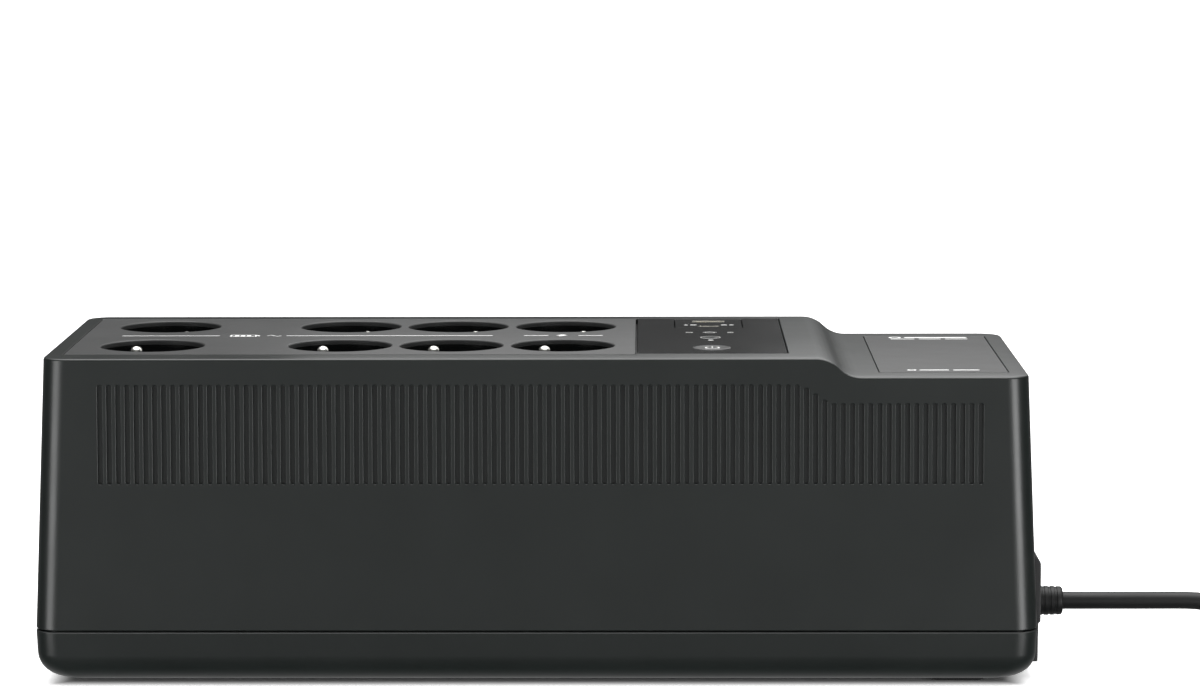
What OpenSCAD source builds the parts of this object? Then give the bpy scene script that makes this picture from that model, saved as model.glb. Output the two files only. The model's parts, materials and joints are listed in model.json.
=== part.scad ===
// Uninterruptible power supply in the long, low form of a power strip: a drafted upper
// housing on a shallow base pan, eight round earthed outlets in the deck, a control panel,
// and a mains lead out of the right end. X is right, Y is back, Z is up, in millimetres.
// The origin is on the floor, under the middle of the housing.

/* [Housing] */
// Width at the seam between the housing and the base pan
body_w = 374; // [370:1:376]
// Depth at the seam
body_d = 147; // [146:1:150]
// Height of the outlet deck above the floor
body_h = 123; // [122:0.5:125]
// How far the right end of the deck is stepped down
step_drop = 7; // [5:0.5:8]
// Height of the seam
seam_z = 21; // [20:0.5:22]
// Draft angle of the four sides
draft = 2.2; // [1.5:0.1:2.5]
// Radius of the four upright corners
corner_r = 9; // [7:0.5:10]
// Thickness of the housing's side walls
wall = 2.5; // [2:0.1:2.8]
// Height of the rubber feet under the base pan
foot_h = 1.5; // [1.2:0.1:2]

/* [Vents] */
// Vent slots along each long side
vent_count = 97; // [40:1:97]
// Distance from one slot to the next
vent_pitch = 3.4; // [3.2:0.1:3.4]
// Width of a slot
vent_w = 1.7; // [1.2:0.1:2]
// Depth of the front slots, which are blind; the back ones go right through
vent_groove = 1.2; // [0.8:0.1:1.6]

/* [Outlets] */
// Diameter of the round recess that takes the plug
well_d = 39; // [38.6:0.1:39.2]
// Depth of the recess below the deck
well_depth = 15.5; // [15:0.5:16]
// Distance between the two rows of outlets
row_gap = 62; // [60:1:64]
// Diameter of the earth pin and of a plug's pins
pin_d = 4.8; // [4.8:0.1:4.8]
// Distance between a plug's two pins
pin_gap = 19; // [19:0.5:19]
// Distance of the earth pin from the middle of the recess
earth_gap = 10; // [10:0.5:10]

/* [Mains lead] */
// Diameter of the lead
cord_d = 6.8; // [6.4:0.1:7]

/* [Hidden] */
$fn = 48;
fit = 0.25;                       // gap around a part that drops into a recess
far = 400;                        // longer than any cut has to be
thin = 0.01;                      // thickness of the sheets that a drafted hull spans
feet = [[-165, 48.5], [158, 56.5]]; // middle of each foot on the back half
foot_w = 19;
foot_d = 10;

// Housing
slope = tan(draft);
low_h = body_h - step_drop;
pan_z = foot_h;                   // underside of the base pan
step_x = 104;                     // where the step down starts
step_run = 17;
step_end = step_x + step_run;
seam_gap = 0.3;
pan_round = 10.5;                 // rounding along the pan's lower edge
pan_floor = 2.5;
ledge_t = 1.5;                    // ledge that the deck plates rest on
plate_t = 2;                      // thickness of the deck plates
deck_under = body_h - plate_t;
cover_ceiling = deck_under - ledge_t;
post_x = 172;
post_y = 58.5;
post_r = 4.5;
pilot_r = 1.5;

// Deck openings: [left, right, front, back]
outlet_win = [-176.6, 37.6, -58.2, 58.2];
control_win = [37.6, 94.4, -56, 60];
plate_win = [128, 176.4, -57.5, 57.5];
ledge = 2;

// Vents
vent_low = 76.1;
vent_mid = 1.9;
vent_high = body_h - 10;
vent_low_high = low_h - 10;

// Outlets
well_r = well_d / 2;
well_wall = 1.3;
well_floor_t = 2;
well_floor = body_h - well_depth;
well_foot = well_floor - 4.5;     // lower rim, which stands on the contact carrier
carrier_t = 4;
carrier_z = well_foot - carrier_t;
columns = [-146.2, -75, -32.7, 9.6];
rows = [-29, row_gap - 29];
sites = [for (r = [0, 1], c = [0 : 3]) [columns[c], rows[r], r == 0 ? 1 : -1]];
line_hole_r = 2.9;
hole_off = pin_gap / 2 / sqrt(2);
earth_off = earth_gap / sqrt(2);
shutter_l = pin_gap + 2 * line_hole_r + 1;
shutter_w = 2 * line_hole_r + 1;
shutter_t = 1.9;
shutter_gap = 0.3;
strip_z = carrier_z - 14;         // live and neutral strips
strip_t = 0.8;
earth_z = carrier_z - 3;          // earth bar
earth_t = 1.2;
screw_y = 2;
carrier_post_x = [-165, -110.6, -53.8, -11.6, 31.5];

// Control panel
button_pos = [66.2, -38];
button_r = 7;
lens_pos = [66, -5];
lens_r = 3.2;
usb_win = [52.4, 79.4, 27.5, 56];
usb_a_pos = [66, 49];
usb_c_pos = [66, 32.5];
button_travel = 1.2;

// Right end
plate_x = 189.2;
gland_y = -8;
gland_z = 20.8;
gland_r = 5.85;
gland_x = 202;
end_x = 183.2;
end_plate_y = [-56.5, 44.5];
breaker_pos = [18, 31];           // y, z
breaker_x = 166;
breaker_r = 5.2;
breaker_button_l = 15.4;
data_pos = [-36, 31];             // y, z

// Battery bay and its sliding door
bay = [-150.5, 1.5, -47, 47];
battery = [-150, 1, -47, 47];
battery_z = 4;
battery_h = 58;
door_t = 2.2;
door_gap = 0.3;
door = [-154, 4, -50, 50];
door_travel = 15;
hook_x = [-146, -82, -18];
hook = [14, 1.6, 1.1];            // length, reach, height above the door's outside

// Boards and transformer
board = [10, 72, -58, 58];
board_z = 17;
board_t = 1.6;
board_top = board_z + board_t;
board_posts_x = [15, 67];
board_posts_y = [-54, 54];
core_x = 84;
core_w = 70;
core_h = 58;
core_z = 7;
core_d = 24;
leg = 12;
window_w = 11;
strap_t = 1.2;
strap_foot_z = 8;
strap_screw_x = [78, 160];
panel_board = [42, 90, -52, 22];
panel_board_z = 108;
panel_posts_x = [46, 86];
panel_posts_y = [-48, 18];

// The lead's route from the strain relief to the start of the coil
cord_r = cord_d / 2;
cord_points = [
    [202, -8, 20.8], [214, -8, 20.8], [226, -8, 20.8], [238, -8, 20.8], [250, -8, 20.8],
    [257, -8, 20.2], [264, -8, 18.3], [270, -8, 15.5], [275, -8, 12.1], [280, -8, 8.7],
    [286, -8, 5.9], [293, -8, 4], [300, -8, 3.4], [310, -8, 3.4], [320, -8, 3.4]];
coil_inner = 27.5;                // radius of the lead's middle in the innermost turn
coil_outer = 48.75;               // and in the outermost
coil_pos = [320, coil_outer - 8];
coil_h = 13.6;

// Plug on its back beside the coil, with its pins up
plug_pos = [coil_pos[0] + coil_outer, 114];
plug_r = 18.4;
plug_face = 26;
plug_neck_z = 10.2;
plug_neck_y = -43;                // end of its strain relief, from the middle of the plug
plug_pin_l = 19;

function half_w(z) = body_w / 2 - (z - seam_z) * slope;
function half_d(z) = body_d / 2 - (z - seam_z) * slope;
function size_x(win) = win[1] - win[0];
function size_y(win) = win[3] - win[2];

// Points of the S-shaped step, from the high deck down to the low one
step_r = (pow(step_run / 2, 2) + pow(step_drop / 2, 2)) / step_drop;
step_turn = asin(step_run / 2 / step_r);
step_line = concat(
    [for (i = [0 : 6]) let (a = step_turn * i / 6)
        [step_x + step_r * sin(a), body_h - step_r * (1 - cos(a))]],
    [for (i = [5 : -1 : 0]) let (a = step_turn * i / 6)
        [step_end - step_r * sin(a), low_h + step_r * (1 - cos(a))]]);

// ---- shared shapes ----

// Upright block over a window, drawn in by an amount on each side
module block(win, z0, z1, inset = 0) {
    translate([win[0] + inset, win[2] + inset, z0])
        cube([size_x(win) - 2 * inset, size_y(win) - 2 * inset, z1 - z0]);
}

// Thin rounded sheet with the housing's outline at height z
module sheet(z, inset = 0, spread = 0) {
    translate([0, 0, z]) linear_extrude(thin)
        offset(r = corner_r - inset, $fn = 32)
            square([2 * (half_w(z) + spread - corner_r), 2 * (half_d(z) + spread - corner_r)],
                center = true);
}

// Drafted block with rounded corners between two heights
module drafted(z0, z1, inset = 0) {
    hull() { sheet(z0, inset); sheet(z1 - thin, inset); }
}

// Everything above the S-shaped step
module above_step(drop = 0) {
    translate([0, far / 2, -drop]) rotate([90, 0, 0]) linear_extrude(far)
        polygon(concat(step_line, [[far, low_h], [far, far], [step_x, far]]));
}

// Hexagon-socket screw, head down, with its shank pointing up
module screw(head_r, head_h, shank_r, shank_l) {
    difference() {
        cylinder(h = head_h, r = head_r);
        translate([0, 0, -1]) cylinder(h = 1 + head_h / 2, r = head_r / 2, $fn = 6);
    }
    translate([0, 0, head_h]) cylinder(h = shank_l, r = shank_r);
}

// Round tube through a list of points, with flat ends
module tube(points, r, sides) {
    n = len(points);
    rings = [for (i = [0 : n - 1])
        let (p = points[max(i - 1, 0)], q = points[min(i + 1, n - 1)],
            d = (q - p) / norm(q - p),
            u = norm(cross(d, [0, 0, 1])) > 0.2 ? cross(d, [0, 0, 1]) : cross(d, [0, 1, 0]),
            a = u / norm(u), b = cross(d, a))
        for (k = [0 : sides - 1])
            points[i] + r * (cos(360 * k / sides) * a + sin(360 * k / sides) * b)];
    walls = [for (i = [0 : n - 2], k = [0 : sides - 1])
        let (m = (k + 1) % sides)
        [i * sides + k, i * sides + m, (i + 1) * sides + m, (i + 1) * sides + k]];
    first = [for (k = [sides - 1 : -1 : 0]) k];
    last = [for (k = [0 : sides - 1]) (n - 1) * sides + k];
    polyhedron(points = rings, faces = concat(walls, [first, last]));
}

// Point on a smooth curve through four points, between the middle two
function blend(a, b, c, d, t) =
    0.5 * (2 * b + (c - a) * t + (2 * a - 5 * b + 4 * c - d) * t * t
        + (3 * b - a - 3 * c + d) * t * t * t);

// Smooth curve through a list of points, with extra points between each two
function smooth(points, steps) = let (n = len(points)) concat(
    [for (i = [0 : n - 2], s = [0 : steps - 1])
        blend(points[max(i - 1, 0)], points[i], points[i + 1], points[min(i + 2, n - 1)],
            s / steps)],
    [points[n - 1]]);

// ---- housing ----

// Room for the plate at the right end
module end_opening(z0, z1) {
    translate([end_x - 3.4, end_plate_y[0] - 0.5, z0])
        cube([far, end_plate_y[1] - end_plate_y[0] + 1, z1 - z0]);
}

// Vent slots, upright in the drafted walls: blind grooves in front, open ones at the back
module vents() {
    for (i = [0 : vent_count - 1]) {
        x = vent_mid + (i - (vent_count - 1) / 2) * vent_pitch;
        s = min(max((x - 96.5) / 15, 0), 1);
        top = vent_high + (vent_low_high - vent_high) * (3 - 2 * s) * s * s;
        translate([x - vent_w / 2, -half_d(vent_low) + vent_groove, vent_low])
            rotate([-draft, 0, 0]) translate([0, -6, 0])
                cube([vent_w, 6, (top - vent_low) / cos(draft)]);
        translate([x - vent_w / 2, body_d / 2 - 9, vent_low]) cube([vent_w, 12, top - vent_low]);
    }
}

module top_cover() {
    color([0.17, 0.18, 0.18]) difference() {
        drafted(seam_z + seam_gap, body_h);
        above_step();
        difference() {
            drafted(seam_z - 1, cover_ceiling, wall);
            above_step(drop = 3.5);
            for (x = [-post_x, post_x], y = [-post_y, post_y])
                translate([x, y, seam_z + 3]) cylinder(h = far, r = post_r);
        }
        for (x = [-post_x, post_x], y = [-post_y, post_y])
            translate([x, y, 0]) cylinder(h = seam_z + 18, r = pilot_r);
        for (win = [outlet_win, control_win]) {
            block(win, deck_under, far);
            block(win, cover_ceiling - 1, far, ledge);
        }
        block(plate_win, low_h - plate_t, far);
        vents();
        end_opening(0, 48);
    }
}

module pan_outer() {
    hull() {
        for (a = [0 : 15 : 90]) {
            z = pan_z + pan_round * (1 - cos(a));
            sheet(z, 0, -pan_round * (1 - sin(a)) - (seam_z - z) * 2 * slope);
        }
        sheet(seam_z - seam_gap - thin, 0, -seam_gap * 2 * slope);
    }
}

// The door's outline, or with a gap and its travel added, the recess that it slides in
module door_shape(gap = 0, travel = 0) {
    translate([door[0] - gap, door[2] - gap, pan_z - gap * 4])
        cube([size_x(door) + 2 * gap + travel, size_y(door) + 2 * gap, door_t + gap * 5]);
    for (x = hook_x)
        translate([x - gap, door[2] - hook[1] - gap, pan_z + hook[2] - gap])
            cube([hook[0] + 2 * gap + travel, size_y(door) + 2 * (hook[1] + gap),
                door_t - hook[2] + 2 * gap]);
}

module base_pan() {
    color([0.14, 0.15, 0.15]) difference() {
        union() {
            difference() {
                pan_outer();
                hull() {
                    sheet(pan_z + pan_floor + 5, 2, -wall - 4);
                    sheet(pan_z + pan_floor + 3, 2, -wall - 6);
                    sheet(seam_z, 2, -wall);
                }
                block([-half_w(0) + 12, half_w(0) - 12, -half_d(0) + 12, half_d(0) - 12],
                    pan_z + pan_floor, far);
            }
            // lip behind the seam
            difference() {
                union() {
                    drafted(seam_z - 4, seam_z - seam_gap, wall - 0.2);
                    drafted(seam_z - seam_gap - thin, seam_z + 1.8, wall + 0.2);
                }
                drafted(seam_z - 5, seam_z + 2.5, wall + 1.3);
            }
            // walls of the battery bay
            difference() {
                block(bay, pan_z + 1, 30, -2);
                block(bay, 0, far);
            }
            // thicker floor over the recess that the door slides in
            block([door[0] - 3, door[1] + door_travel + 3, -55, 55], pan_z, pan_z + 4.5);
            // pad under the transformer, and posts under its strap
            block([core_x + 3, core_x + core_w - 3, -20, 20], pan_z + 1, core_z);
            for (x = strap_screw_x)
                translate([x, 0, pan_z + 1]) cylinder(h = strap_foot_z - pan_z - 1, r = 3.5);
            // bosses under the housing's screw posts
            for (x = [-post_x, post_x], y = [-post_y, post_y])
                translate([x, y, pan_z + 1]) cylinder(h = seam_z + 2 - pan_z, r = post_r);
            // posts that carry the main board
            for (x = board_posts_x, y = board_posts_y)
                translate([x, y, pan_z + 1]) cylinder(h = board_z - pan_z - 1, r = 3.5);
        }
        door_shape(door_gap, door_travel);
        // notches that the hooks drop out of at the end of the travel
        for (x = hook_x)
            translate([x + door_travel - door_gap, door[2] - hook[1] - door_gap, 0])
                cube([hook[0] + 2 * door_gap, size_y(door) + 2 * (hook[1] + door_gap),
                    pan_z + door_t]);
        block(bay, 0, far);
        for (x = strap_screw_x) translate([x, 0, pan_z + 2]) cylinder(h = far, r = 1.2);
        for (x = [-post_x, post_x], y = [-post_y, post_y]) {
            translate([x, y, 0]) cylinder(h = far, r = 1.8);
            translate([x, y, 0]) cylinder(h = pan_z + 9.2, r = 3.4);
        }
        for (x = board_posts_x, y = board_posts_y)
            translate([x, y, pan_z + 3]) cylinder(h = far, r = 1.2);
        end_opening(6, far);
    }
}

module outlet_deck() {
    color([0.33, 0.34, 0.34]) difference() {
        union() {
            block(outlet_win, deck_under, body_h, fit);
            for (x = carrier_post_x)
                translate([x, screw_y, well_foot]) cylinder(h = deck_under - well_foot + 1, r = 3.4);
        }
        for (s = sites) translate([s[0], s[1], 0]) {
            cylinder(h = far, r = well_r);
            translate([0, 0, body_h - 0.6]) cylinder(h = 0.7, r1 = well_r, r2 = well_r + 0.6);
        }
        for (x = carrier_post_x)
            translate([x, screw_y, 0]) cylinder(h = deck_under - 3, r = 1.5);
    }
}

module control_panel() {
    color([0.2, 0.2, 0.2]) difference() {
        block(control_win, deck_under, body_h, fit);
        translate([button_pos[0], button_pos[1], 0]) cylinder(h = far, r = button_r + 0.3);
        translate([lens_pos[0], lens_pos[1], 0]) cylinder(h = far, r = lens_r);
        block(usb_win, 0, far);
    }
}

module cover_plate() {
    color([0.33, 0.34, 0.34]) block(plate_win, low_h - plate_t, low_h, fit);
}

module rubber_feet() {
    color([0.05, 0.05, 0.05]) for (side = [-1, 1], foot = feet)
        translate([foot[0] - foot_w / 2, side * foot[1] - foot_d / 2, 0])
            cube([foot_w, foot_d, foot_h]);
}

module battery_door() {
    color([0.14, 0.15, 0.15]) difference() {
        door_shape();
        // finger grooves at the end that is pushed
        for (i = [0 : 3])
            translate([door[0] + 8 + 3 * i, -15, 0]) cube([1.2, 30, pan_z + 0.7]);
    }
}

module housing_screws() {
    color([0.5, 0.5, 0.5]) for (x = [-post_x, post_x], y = [-post_y, post_y])
        translate([x, y, pan_z + 6.7]) screw(3, 2.5, 1.45, 20);
}

// ---- right end ----

module end_plate() {
    color([0.12, 0.12, 0.12]) difference() {
        union() {
            // chamfered at its upper edge, and set in a little below the seam
            translate([0, end_plate_y[1], 0]) rotate([90, 0, 0])
                linear_extrude(end_plate_y[1] - end_plate_y[0])
                    polygon([[end_x, 6.3], [plate_x - 1, 6.3], [plate_x - 0.8, seam_z],
                        [plate_x, seam_z + 0.5], [plate_x, 43.5], [half_w(46) + 0.3, 47],
                        [end_x, 47]]);
            // flange behind the housing's wall
            translate([end_x - 2.4, end_plate_y[0] - 2, seam_z + 2])
                cube([2.4, end_plate_y[1] - end_plate_y[0] + 4, 27]);
        }
        translate([0, gland_y, gland_z]) rotate([0, 90, 0]) cylinder(h = far, r = gland_r);
        translate([0, breaker_pos[0], breaker_pos[1]]) rotate([0, 90, 0])
            cylinder(h = far, r = breaker_r + 0.1);
        translate([0, data_pos[0] - 7.2, data_pos[1] - 6.2]) cube([far, 14.4, 12.4]);
    }
}

module breaker_body() {
    color([0.1, 0.1, 0.1]) translate([0, breaker_pos[0], breaker_pos[1]]) difference() {
        union() {
            translate([breaker_x, -7, -8]) cube([end_x - 2.4 - breaker_x, 14, 16]);
            translate([breaker_x, 0, 0]) rotate([0, 90, 0])
                cylinder(h = plate_x + 0.6 - breaker_x, r = breaker_r);
            for (y = [-4, 4]) translate([breaker_x - 8, y - 0.4, -3]) cube([9, 0.8, 6]);
        }
        translate([breaker_x + 5, 0, 0]) rotate([0, 90, 0]) cylinder(h = far, r = 3.4);
    }
}

module breaker_button() {
    tip = plate_x + 0.8;
    color([0.75, 0.75, 0.75]) translate([tip, breaker_pos[0], breaker_pos[1]])
        rotate([0, 90, 0]) {
            translate([0, 0, -breaker_button_l]) cylinder(h = breaker_button_l, r = 3.1);
            cylinder(h = 0.6, r1 = 3.1, r2 = 2.5);
        }
}

module data_socket() {
    color([0.2, 0.2, 0.2]) translate([0, data_pos[0], data_pos[1]]) difference() {
        translate([172, -7, -6]) cube([plate_x - 0.4 - 172, 14, 12]);
        translate([175, -5.9, -3.4]) cube([far, 11.8, 7]);
        translate([175, -3, -5]) cube([far, 6, 2]);
    }
}

// ---- outlets ----

module socket_well(n) {
    s = sites[n - 1];
    color([0.06, 0.06, 0.06]) translate([s[0], s[1], 0]) difference() {
        translate([0, 0, well_foot]) cylinder(h = deck_under - well_foot, r = well_r + well_wall);
        translate([0, 0, well_floor]) cylinder(h = far, r = well_r);
        cylinder(h = well_floor - well_floor_t, r = well_r);
        for (side = [-1, 1])
            translate([side * hole_off, side * hole_off, 0]) cylinder(h = far, r = line_hole_r);
        translate([-s[2] * earth_off, s[2] * earth_off, 0]) cylinder(h = far, r = 2.05);
    }
}

// Safety shutter: a bar over both line holes, which slides away from the earth pin
module shutter(n) {
    s = sites[n - 1];
    color([0.3, 0.3, 0.3])
        translate([s[0], s[1], well_floor - well_floor_t - shutter_gap - shutter_t])
            rotate([0, 0, 45])
                translate([-shutter_l / 2, -shutter_w / 2, 0])
                    cube([shutter_l, shutter_w, shutter_t]);
}

module earth_pins() {
    color([0.8, 0.8, 0.8]) for (s = sites)
        translate([s[0] - s[2] * earth_off, s[1] + s[2] * earth_off, 0]) {
            translate([0, 0, earth_z - 1]) cylinder(h = 1, r = 3);
            translate([0, 0, earth_z - 0.5]) cylinder(h = well_floor - earth_z + 0.5, r = 2);
            translate([0, 0, well_floor]) cylinder(h = 12, r = pin_d / 2);
            translate([0, 0, well_floor + 12]) intersection() {
                sphere(r = pin_d / 2);
                cylinder(h = pin_d, r = pin_d);
            }
        }
}

module earth_bar() {
    color([0.8, 0.75, 0.5]) difference() {
        union() {
            translate([sites[0][0] - 12, 8, earth_z])
                cube([sites[3][0] - sites[0][0] + 24, 6, earth_t]);
            for (s = sites) {
                pin_y = s[1] + s[2] * earth_off;
                translate([s[0] - s[2] * earth_off - 3.2, min(pin_y - 4, 9), earth_z])
                    cube([6.4, abs(pin_y - 11) + 6, earth_t]);
            }
        }
        for (s = sites)
            translate([s[0] - s[2] * earth_off, s[1] + s[2] * earth_off, 0])
                cylinder(h = far, r = 2.05);
    }
}

// Strip with a sprung sleeve for each plug pin; side is 1 for live and -1 for neutral
module strip(row, from, to, side) {
    y = rows[row] + side * hole_off;
    difference() {
        union() {
            translate([columns[from] + side * hole_off - 5, y - 3, strip_z])
                cube([columns[to] - columns[from] + 10, 6, strip_t]);
            for (c = [from : to])
                translate([columns[c] + side * hole_off, y, strip_z])
                    cylinder(h = carrier_z + carrier_t - 0.4 - strip_z, r = 3.3);
        }
        for (c = [from : to]) translate([columns[c] + side * hole_off, y, 0]) {
            cylinder(h = far, r = pin_d / 2 + 0.1);
            // slit that lets the sleeve spring open
            translate([-0.4, 0, strip_z + strip_t + 1]) cube([0.8, 5, far]);
        }
    }
}

module live_strips() {
    color([0.8, 0.55, 0.25]) for (row = [0, 1]) {
        strip(row, 0, 2, 1);
        strip(row, 3, 3, 1);
    }
}

module neutral_strips() {
    color([0.8, 0.55, 0.25]) for (row = [0, 1]) strip(row, 0, 3, -1);
}

module contact_carrier() {
    color([0.85, 0.85, 0.8]) difference() {
        block([-169, 36, -51, 54], carrier_z, carrier_z + carrier_t);
        for (s = sites) translate([s[0], s[1], 0]) {
            for (side = [-1, 1])
                translate([side * hole_off, side * hole_off, 0]) cylinder(h = far, r = 3.6);
            translate([-s[2] * earth_off, s[2] * earth_off, 0]) cylinder(h = far, r = 2.1);
        }
        for (x = carrier_post_x) translate([x, screw_y, 0]) cylinder(h = far, r = 1.7);
    }
}

module carrier_screws() {
    color([0.5, 0.5, 0.5]) for (x = carrier_post_x)
        translate([x, screw_y, carrier_z - 2]) screw(3, 2, 1.45, 14);
}

// ---- control panel ----

module power_button() {
    color([0.25, 0.25, 0.25]) translate([button_pos[0], button_pos[1], 0]) {
        translate([0, 0, deck_under - 0.3]) cylinder(h = plate_t + 0.5, r = button_r);
        translate([0, 0, deck_under - 1.7]) cylinder(h = 1.4, r = button_r + 1.5);
        translate([0, 0, panel_board_z + board_t + 3.5 + 1.5])
            cylinder(h = deck_under - 1.7 - panel_board_z - board_t - 5, r = 2);
    }
}

module status_lens() {
    color([0.7, 0.8, 0.7]) translate([lens_pos[0], lens_pos[1], 0]) {
        translate([0, 0, deck_under - 1]) cylinder(h = plate_t + 1.1, r = lens_r - 0.05);
        translate([0, 0, panel_board_z + board_t]) cylinder(h = 12, r = 2);
    }
}

module control_board() {
    color([0.1, 0.35, 0.2]) difference() {
        union() {
            block(panel_board, panel_board_z, panel_board_z + board_t);
            // push switch under the power button
            translate([button_pos[0] - 3, button_pos[1] - 3, panel_board_z + board_t])
                cube([6, 6, 3.5]);
        }
        for (x = panel_posts_x, y = panel_posts_y)
            translate([x, y, 0]) cylinder(h = far, r = 1.6);
    }
}

module usb_module() {
    color([0.14, 0.14, 0.14]) difference() {
        union() {
            block(usb_win, deck_under - 14, body_h, fit);
            block(usb_win, deck_under - 1.5, deck_under, -1.2);
        }
        translate([usb_a_pos[0], usb_a_pos[1], body_h - 13.5])
            translate([-6.55, -2.85, 0]) cube([13.1, 5.7, far]);
        translate([usb_c_pos[0], usb_c_pos[1], body_h - 11])
            linear_extrude(far) polygon(stadium(8.94, 3.16));
    }
}

// Outline of a slot with round ends
function stadium(w, h) = [
    for (side = [1, -1], a = [-90 : 15 : 90])
        [side * ((w - h) / 2 + h / 2 * cos(a)), side * h / 2 * sin(a)]];

module usb_a_shell() {
    color([0.75, 0.75, 0.75])
        translate([usb_a_pos[0], usb_a_pos[1], body_h - 13.5]) difference() {
            translate([-6.55, -2.85, 0]) cube([13.1, 5.7, 13.5]);
            translate([-6.25, -2.55, 0.4]) cube([12.5, 5.1, far]);
        }
}

module usb_c_shell() {
    color([0.75, 0.75, 0.75])
        translate([usb_c_pos[0], usb_c_pos[1], body_h - 11]) difference() {
            linear_extrude(11) polygon(stadium(8.94, 3.16));
            translate([0, 0, 0.4]) linear_extrude(far) polygon(stadium(8.34, 2.56));
        }
}

module usb_tongues() {
    color([0.9, 0.9, 0.9]) {
        translate([usb_a_pos[0] - 5.5, usb_a_pos[1] + 0.2, body_h - 13.1]) cube([11, 1.8, 12]);
        translate([usb_c_pos[0] - 3.2, usb_c_pos[1] - 0.35, body_h - 10.6]) cube([6.4, 0.7, 9.8]);
    }
}

// ---- battery ----

module battery_case() {
    color([0.12, 0.12, 0.13]) difference() {
        block(battery, battery_z, battery_z + battery_h);
        // grip grooves at both ends
        for (x = [battery[0], battery[1]])
            translate([x - 0.8, -25, battery_z + 30]) cube([1.6, 50, 5]);
    }
}

module battery_lid() {
    color([0.16, 0.16, 0.17]) union() {
        block(battery, battery_z + battery_h, battery_z + battery_h + 4, 1);
        for (i = [0 : 5])
            translate([battery[0] + 20 + 20 * i, 0, battery_z + battery_h + 3])
                cylinder(h = 2, r = 6);
    }
}

lead_start = [battery[1] - 9, 30, battery_z + battery_h + 11];

module battery_terminals() {
    color([0.8, 0.8, 0.75]) for (side = [-1, 1])
        translate([lead_start[0] - 0.4, side * lead_start[1] - 3.15, lead_start[2] - 7])
            cube([0.8, 6.3, 7]);
}

module battery_lead(side) {
    p = lead_start;
    tube(smooth([p, p + [1, 0, 5], p + [7, 0, 7], p + [13, 0, 0], p + [17, 0, -14],
        p + [21, 0, -32], [16, p[1], board_top + 8], [16, p[1], board_top]], 3), 2, 8);
}

module battery_lead_pos() {
    color([0.7, 0.08, 0.06]) battery_lead();
}

module battery_lead_neg() {
    color([0.06, 0.06, 0.06]) mirror([0, 1, 0]) battery_lead();
}

// ---- transformer ----

module transformer_core() {
    color([0.45, 0.43, 0.4]) translate([core_x, core_d, core_z]) rotate([90, 0, 0])
        linear_extrude(2 * core_d) difference() {
            square([core_w, core_h]);
            for (x = [leg, core_w - leg - window_w])
                translate([x, leg]) square([window_w, core_h - 2 * leg]);
        }
}

module transformer_winding() {
    gap = 0.4;
    color([0.75, 0.45, 0.2]) difference() {
        block([core_x + leg + gap, core_x + core_w - leg - gap, -38, 38],
            core_z + leg + gap, core_z + core_h - leg - gap);
        block([core_x + leg + window_w - gap, core_x + core_w - leg - window_w + gap,
            -core_d - gap, core_d + gap], 0, far);
    }
}

module transformer_bracket() {
    x0 = core_x - strap_t;
    x1 = core_x + core_w + strap_t;
    color([0.7, 0.7, 0.7]) difference() {
        translate([0, 18, 0]) rotate([90, 0, 0]) linear_extrude(36)
            polygon([[x0 - 9, strap_foot_z], [core_x, strap_foot_z],
                [core_x, core_z + core_h], [x1 - strap_t, core_z + core_h],
                [x1 - strap_t, strap_foot_z], [x1 + 9, strap_foot_z],
                [x1 + 9, strap_foot_z + strap_t], [x1, strap_foot_z + strap_t],
                [x1, core_z + core_h + strap_t], [x0, core_z + core_h + strap_t],
                [x0, strap_foot_z + strap_t], [x0 - 9, strap_foot_z + strap_t]]);
        for (x = strap_screw_x) translate([x, 0, 0]) cylinder(h = 15, r = 1.7);
    }
}

// ---- main board ----

module main_board() {
    color([0.12, 0.4, 0.22]) difference() {
        block(board, board_z, board_top);
        for (x = board_posts_x, y = board_posts_y)
            translate([x, y, 0]) cylinder(h = far, r = 1.7);
    }
}

module heatsinks() {
    color([0.7, 0.7, 0.72]) for (y = [-48, 2]) translate([24, y, board_top]) {
        translate([12, 0, 0]) cube([3, 46, 38]);
        for (i = [0 : 7]) translate([0, i * 6.3, 0]) cube([12.5, 1.9, 38]);
    }
}

module transistors() {
    color([0.1, 0.1, 0.1]) for (y = [-43, -19, 7, 31]) translate([39, y, board_top]) {
        translate([0, 0, 8]) cube([4.5, 10, 15]);
        for (i = [0 : 2]) translate([2, 2 + 2.5 * i, 0]) cube([0.6, 1, 8.5]);
    }
}

module relays() {
    color([0.1, 0.25, 0.5]) for (y = [-49, -30, -11])
        translate([48, y, board_top]) cube([18, 15, 16]);
}

module capacitors() {
    color([0.15, 0.15, 0.2]) for (y = [16, 36]) translate([57, y, board_top]) difference() {
        cylinder(h = 30, r = 8);
        translate([0, 0, 3]) rotate_extrude() translate([7.6, 0]) square([2, 1.2]);
    }
}

module internal_screws() {
    color([0.6, 0.6, 0.6]) {
        for (x = board_posts_x, y = board_posts_y)
            translate([x, y, board_top + 2]) rotate([180, 0, 0]) screw(3, 2, 1.15, 10);
        for (x = strap_screw_x)
            translate([x, 0, strap_foot_z + strap_t + 2])
                rotate([180, 0, 0]) screw(3, 2, 1.15, 5);
    }
}

// ---- mains lead ----

module strain_relief() {
    color([0.09, 0.09, 0.09]) translate([0, gland_y, gland_z]) rotate([0, 90, 0]) {
        translate([0, 0, end_x - 7.2]) cylinder(h = 4.8, r = 8);
        translate([0, 0, end_x - 3]) cylinder(h = gland_x - 0.8 - end_x + 3, r = gland_r - 0.05);
        translate([0, 0, gland_x - 0.8])
            cylinder(h = 0.8, r1 = gland_r - 0.05, r2 = gland_r - 0.7);
    }
}

module mains_cord() {
    color([0.07, 0.07, 0.07]) tube(smooth(cord_points, 2), cord_r, 12);
}

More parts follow.
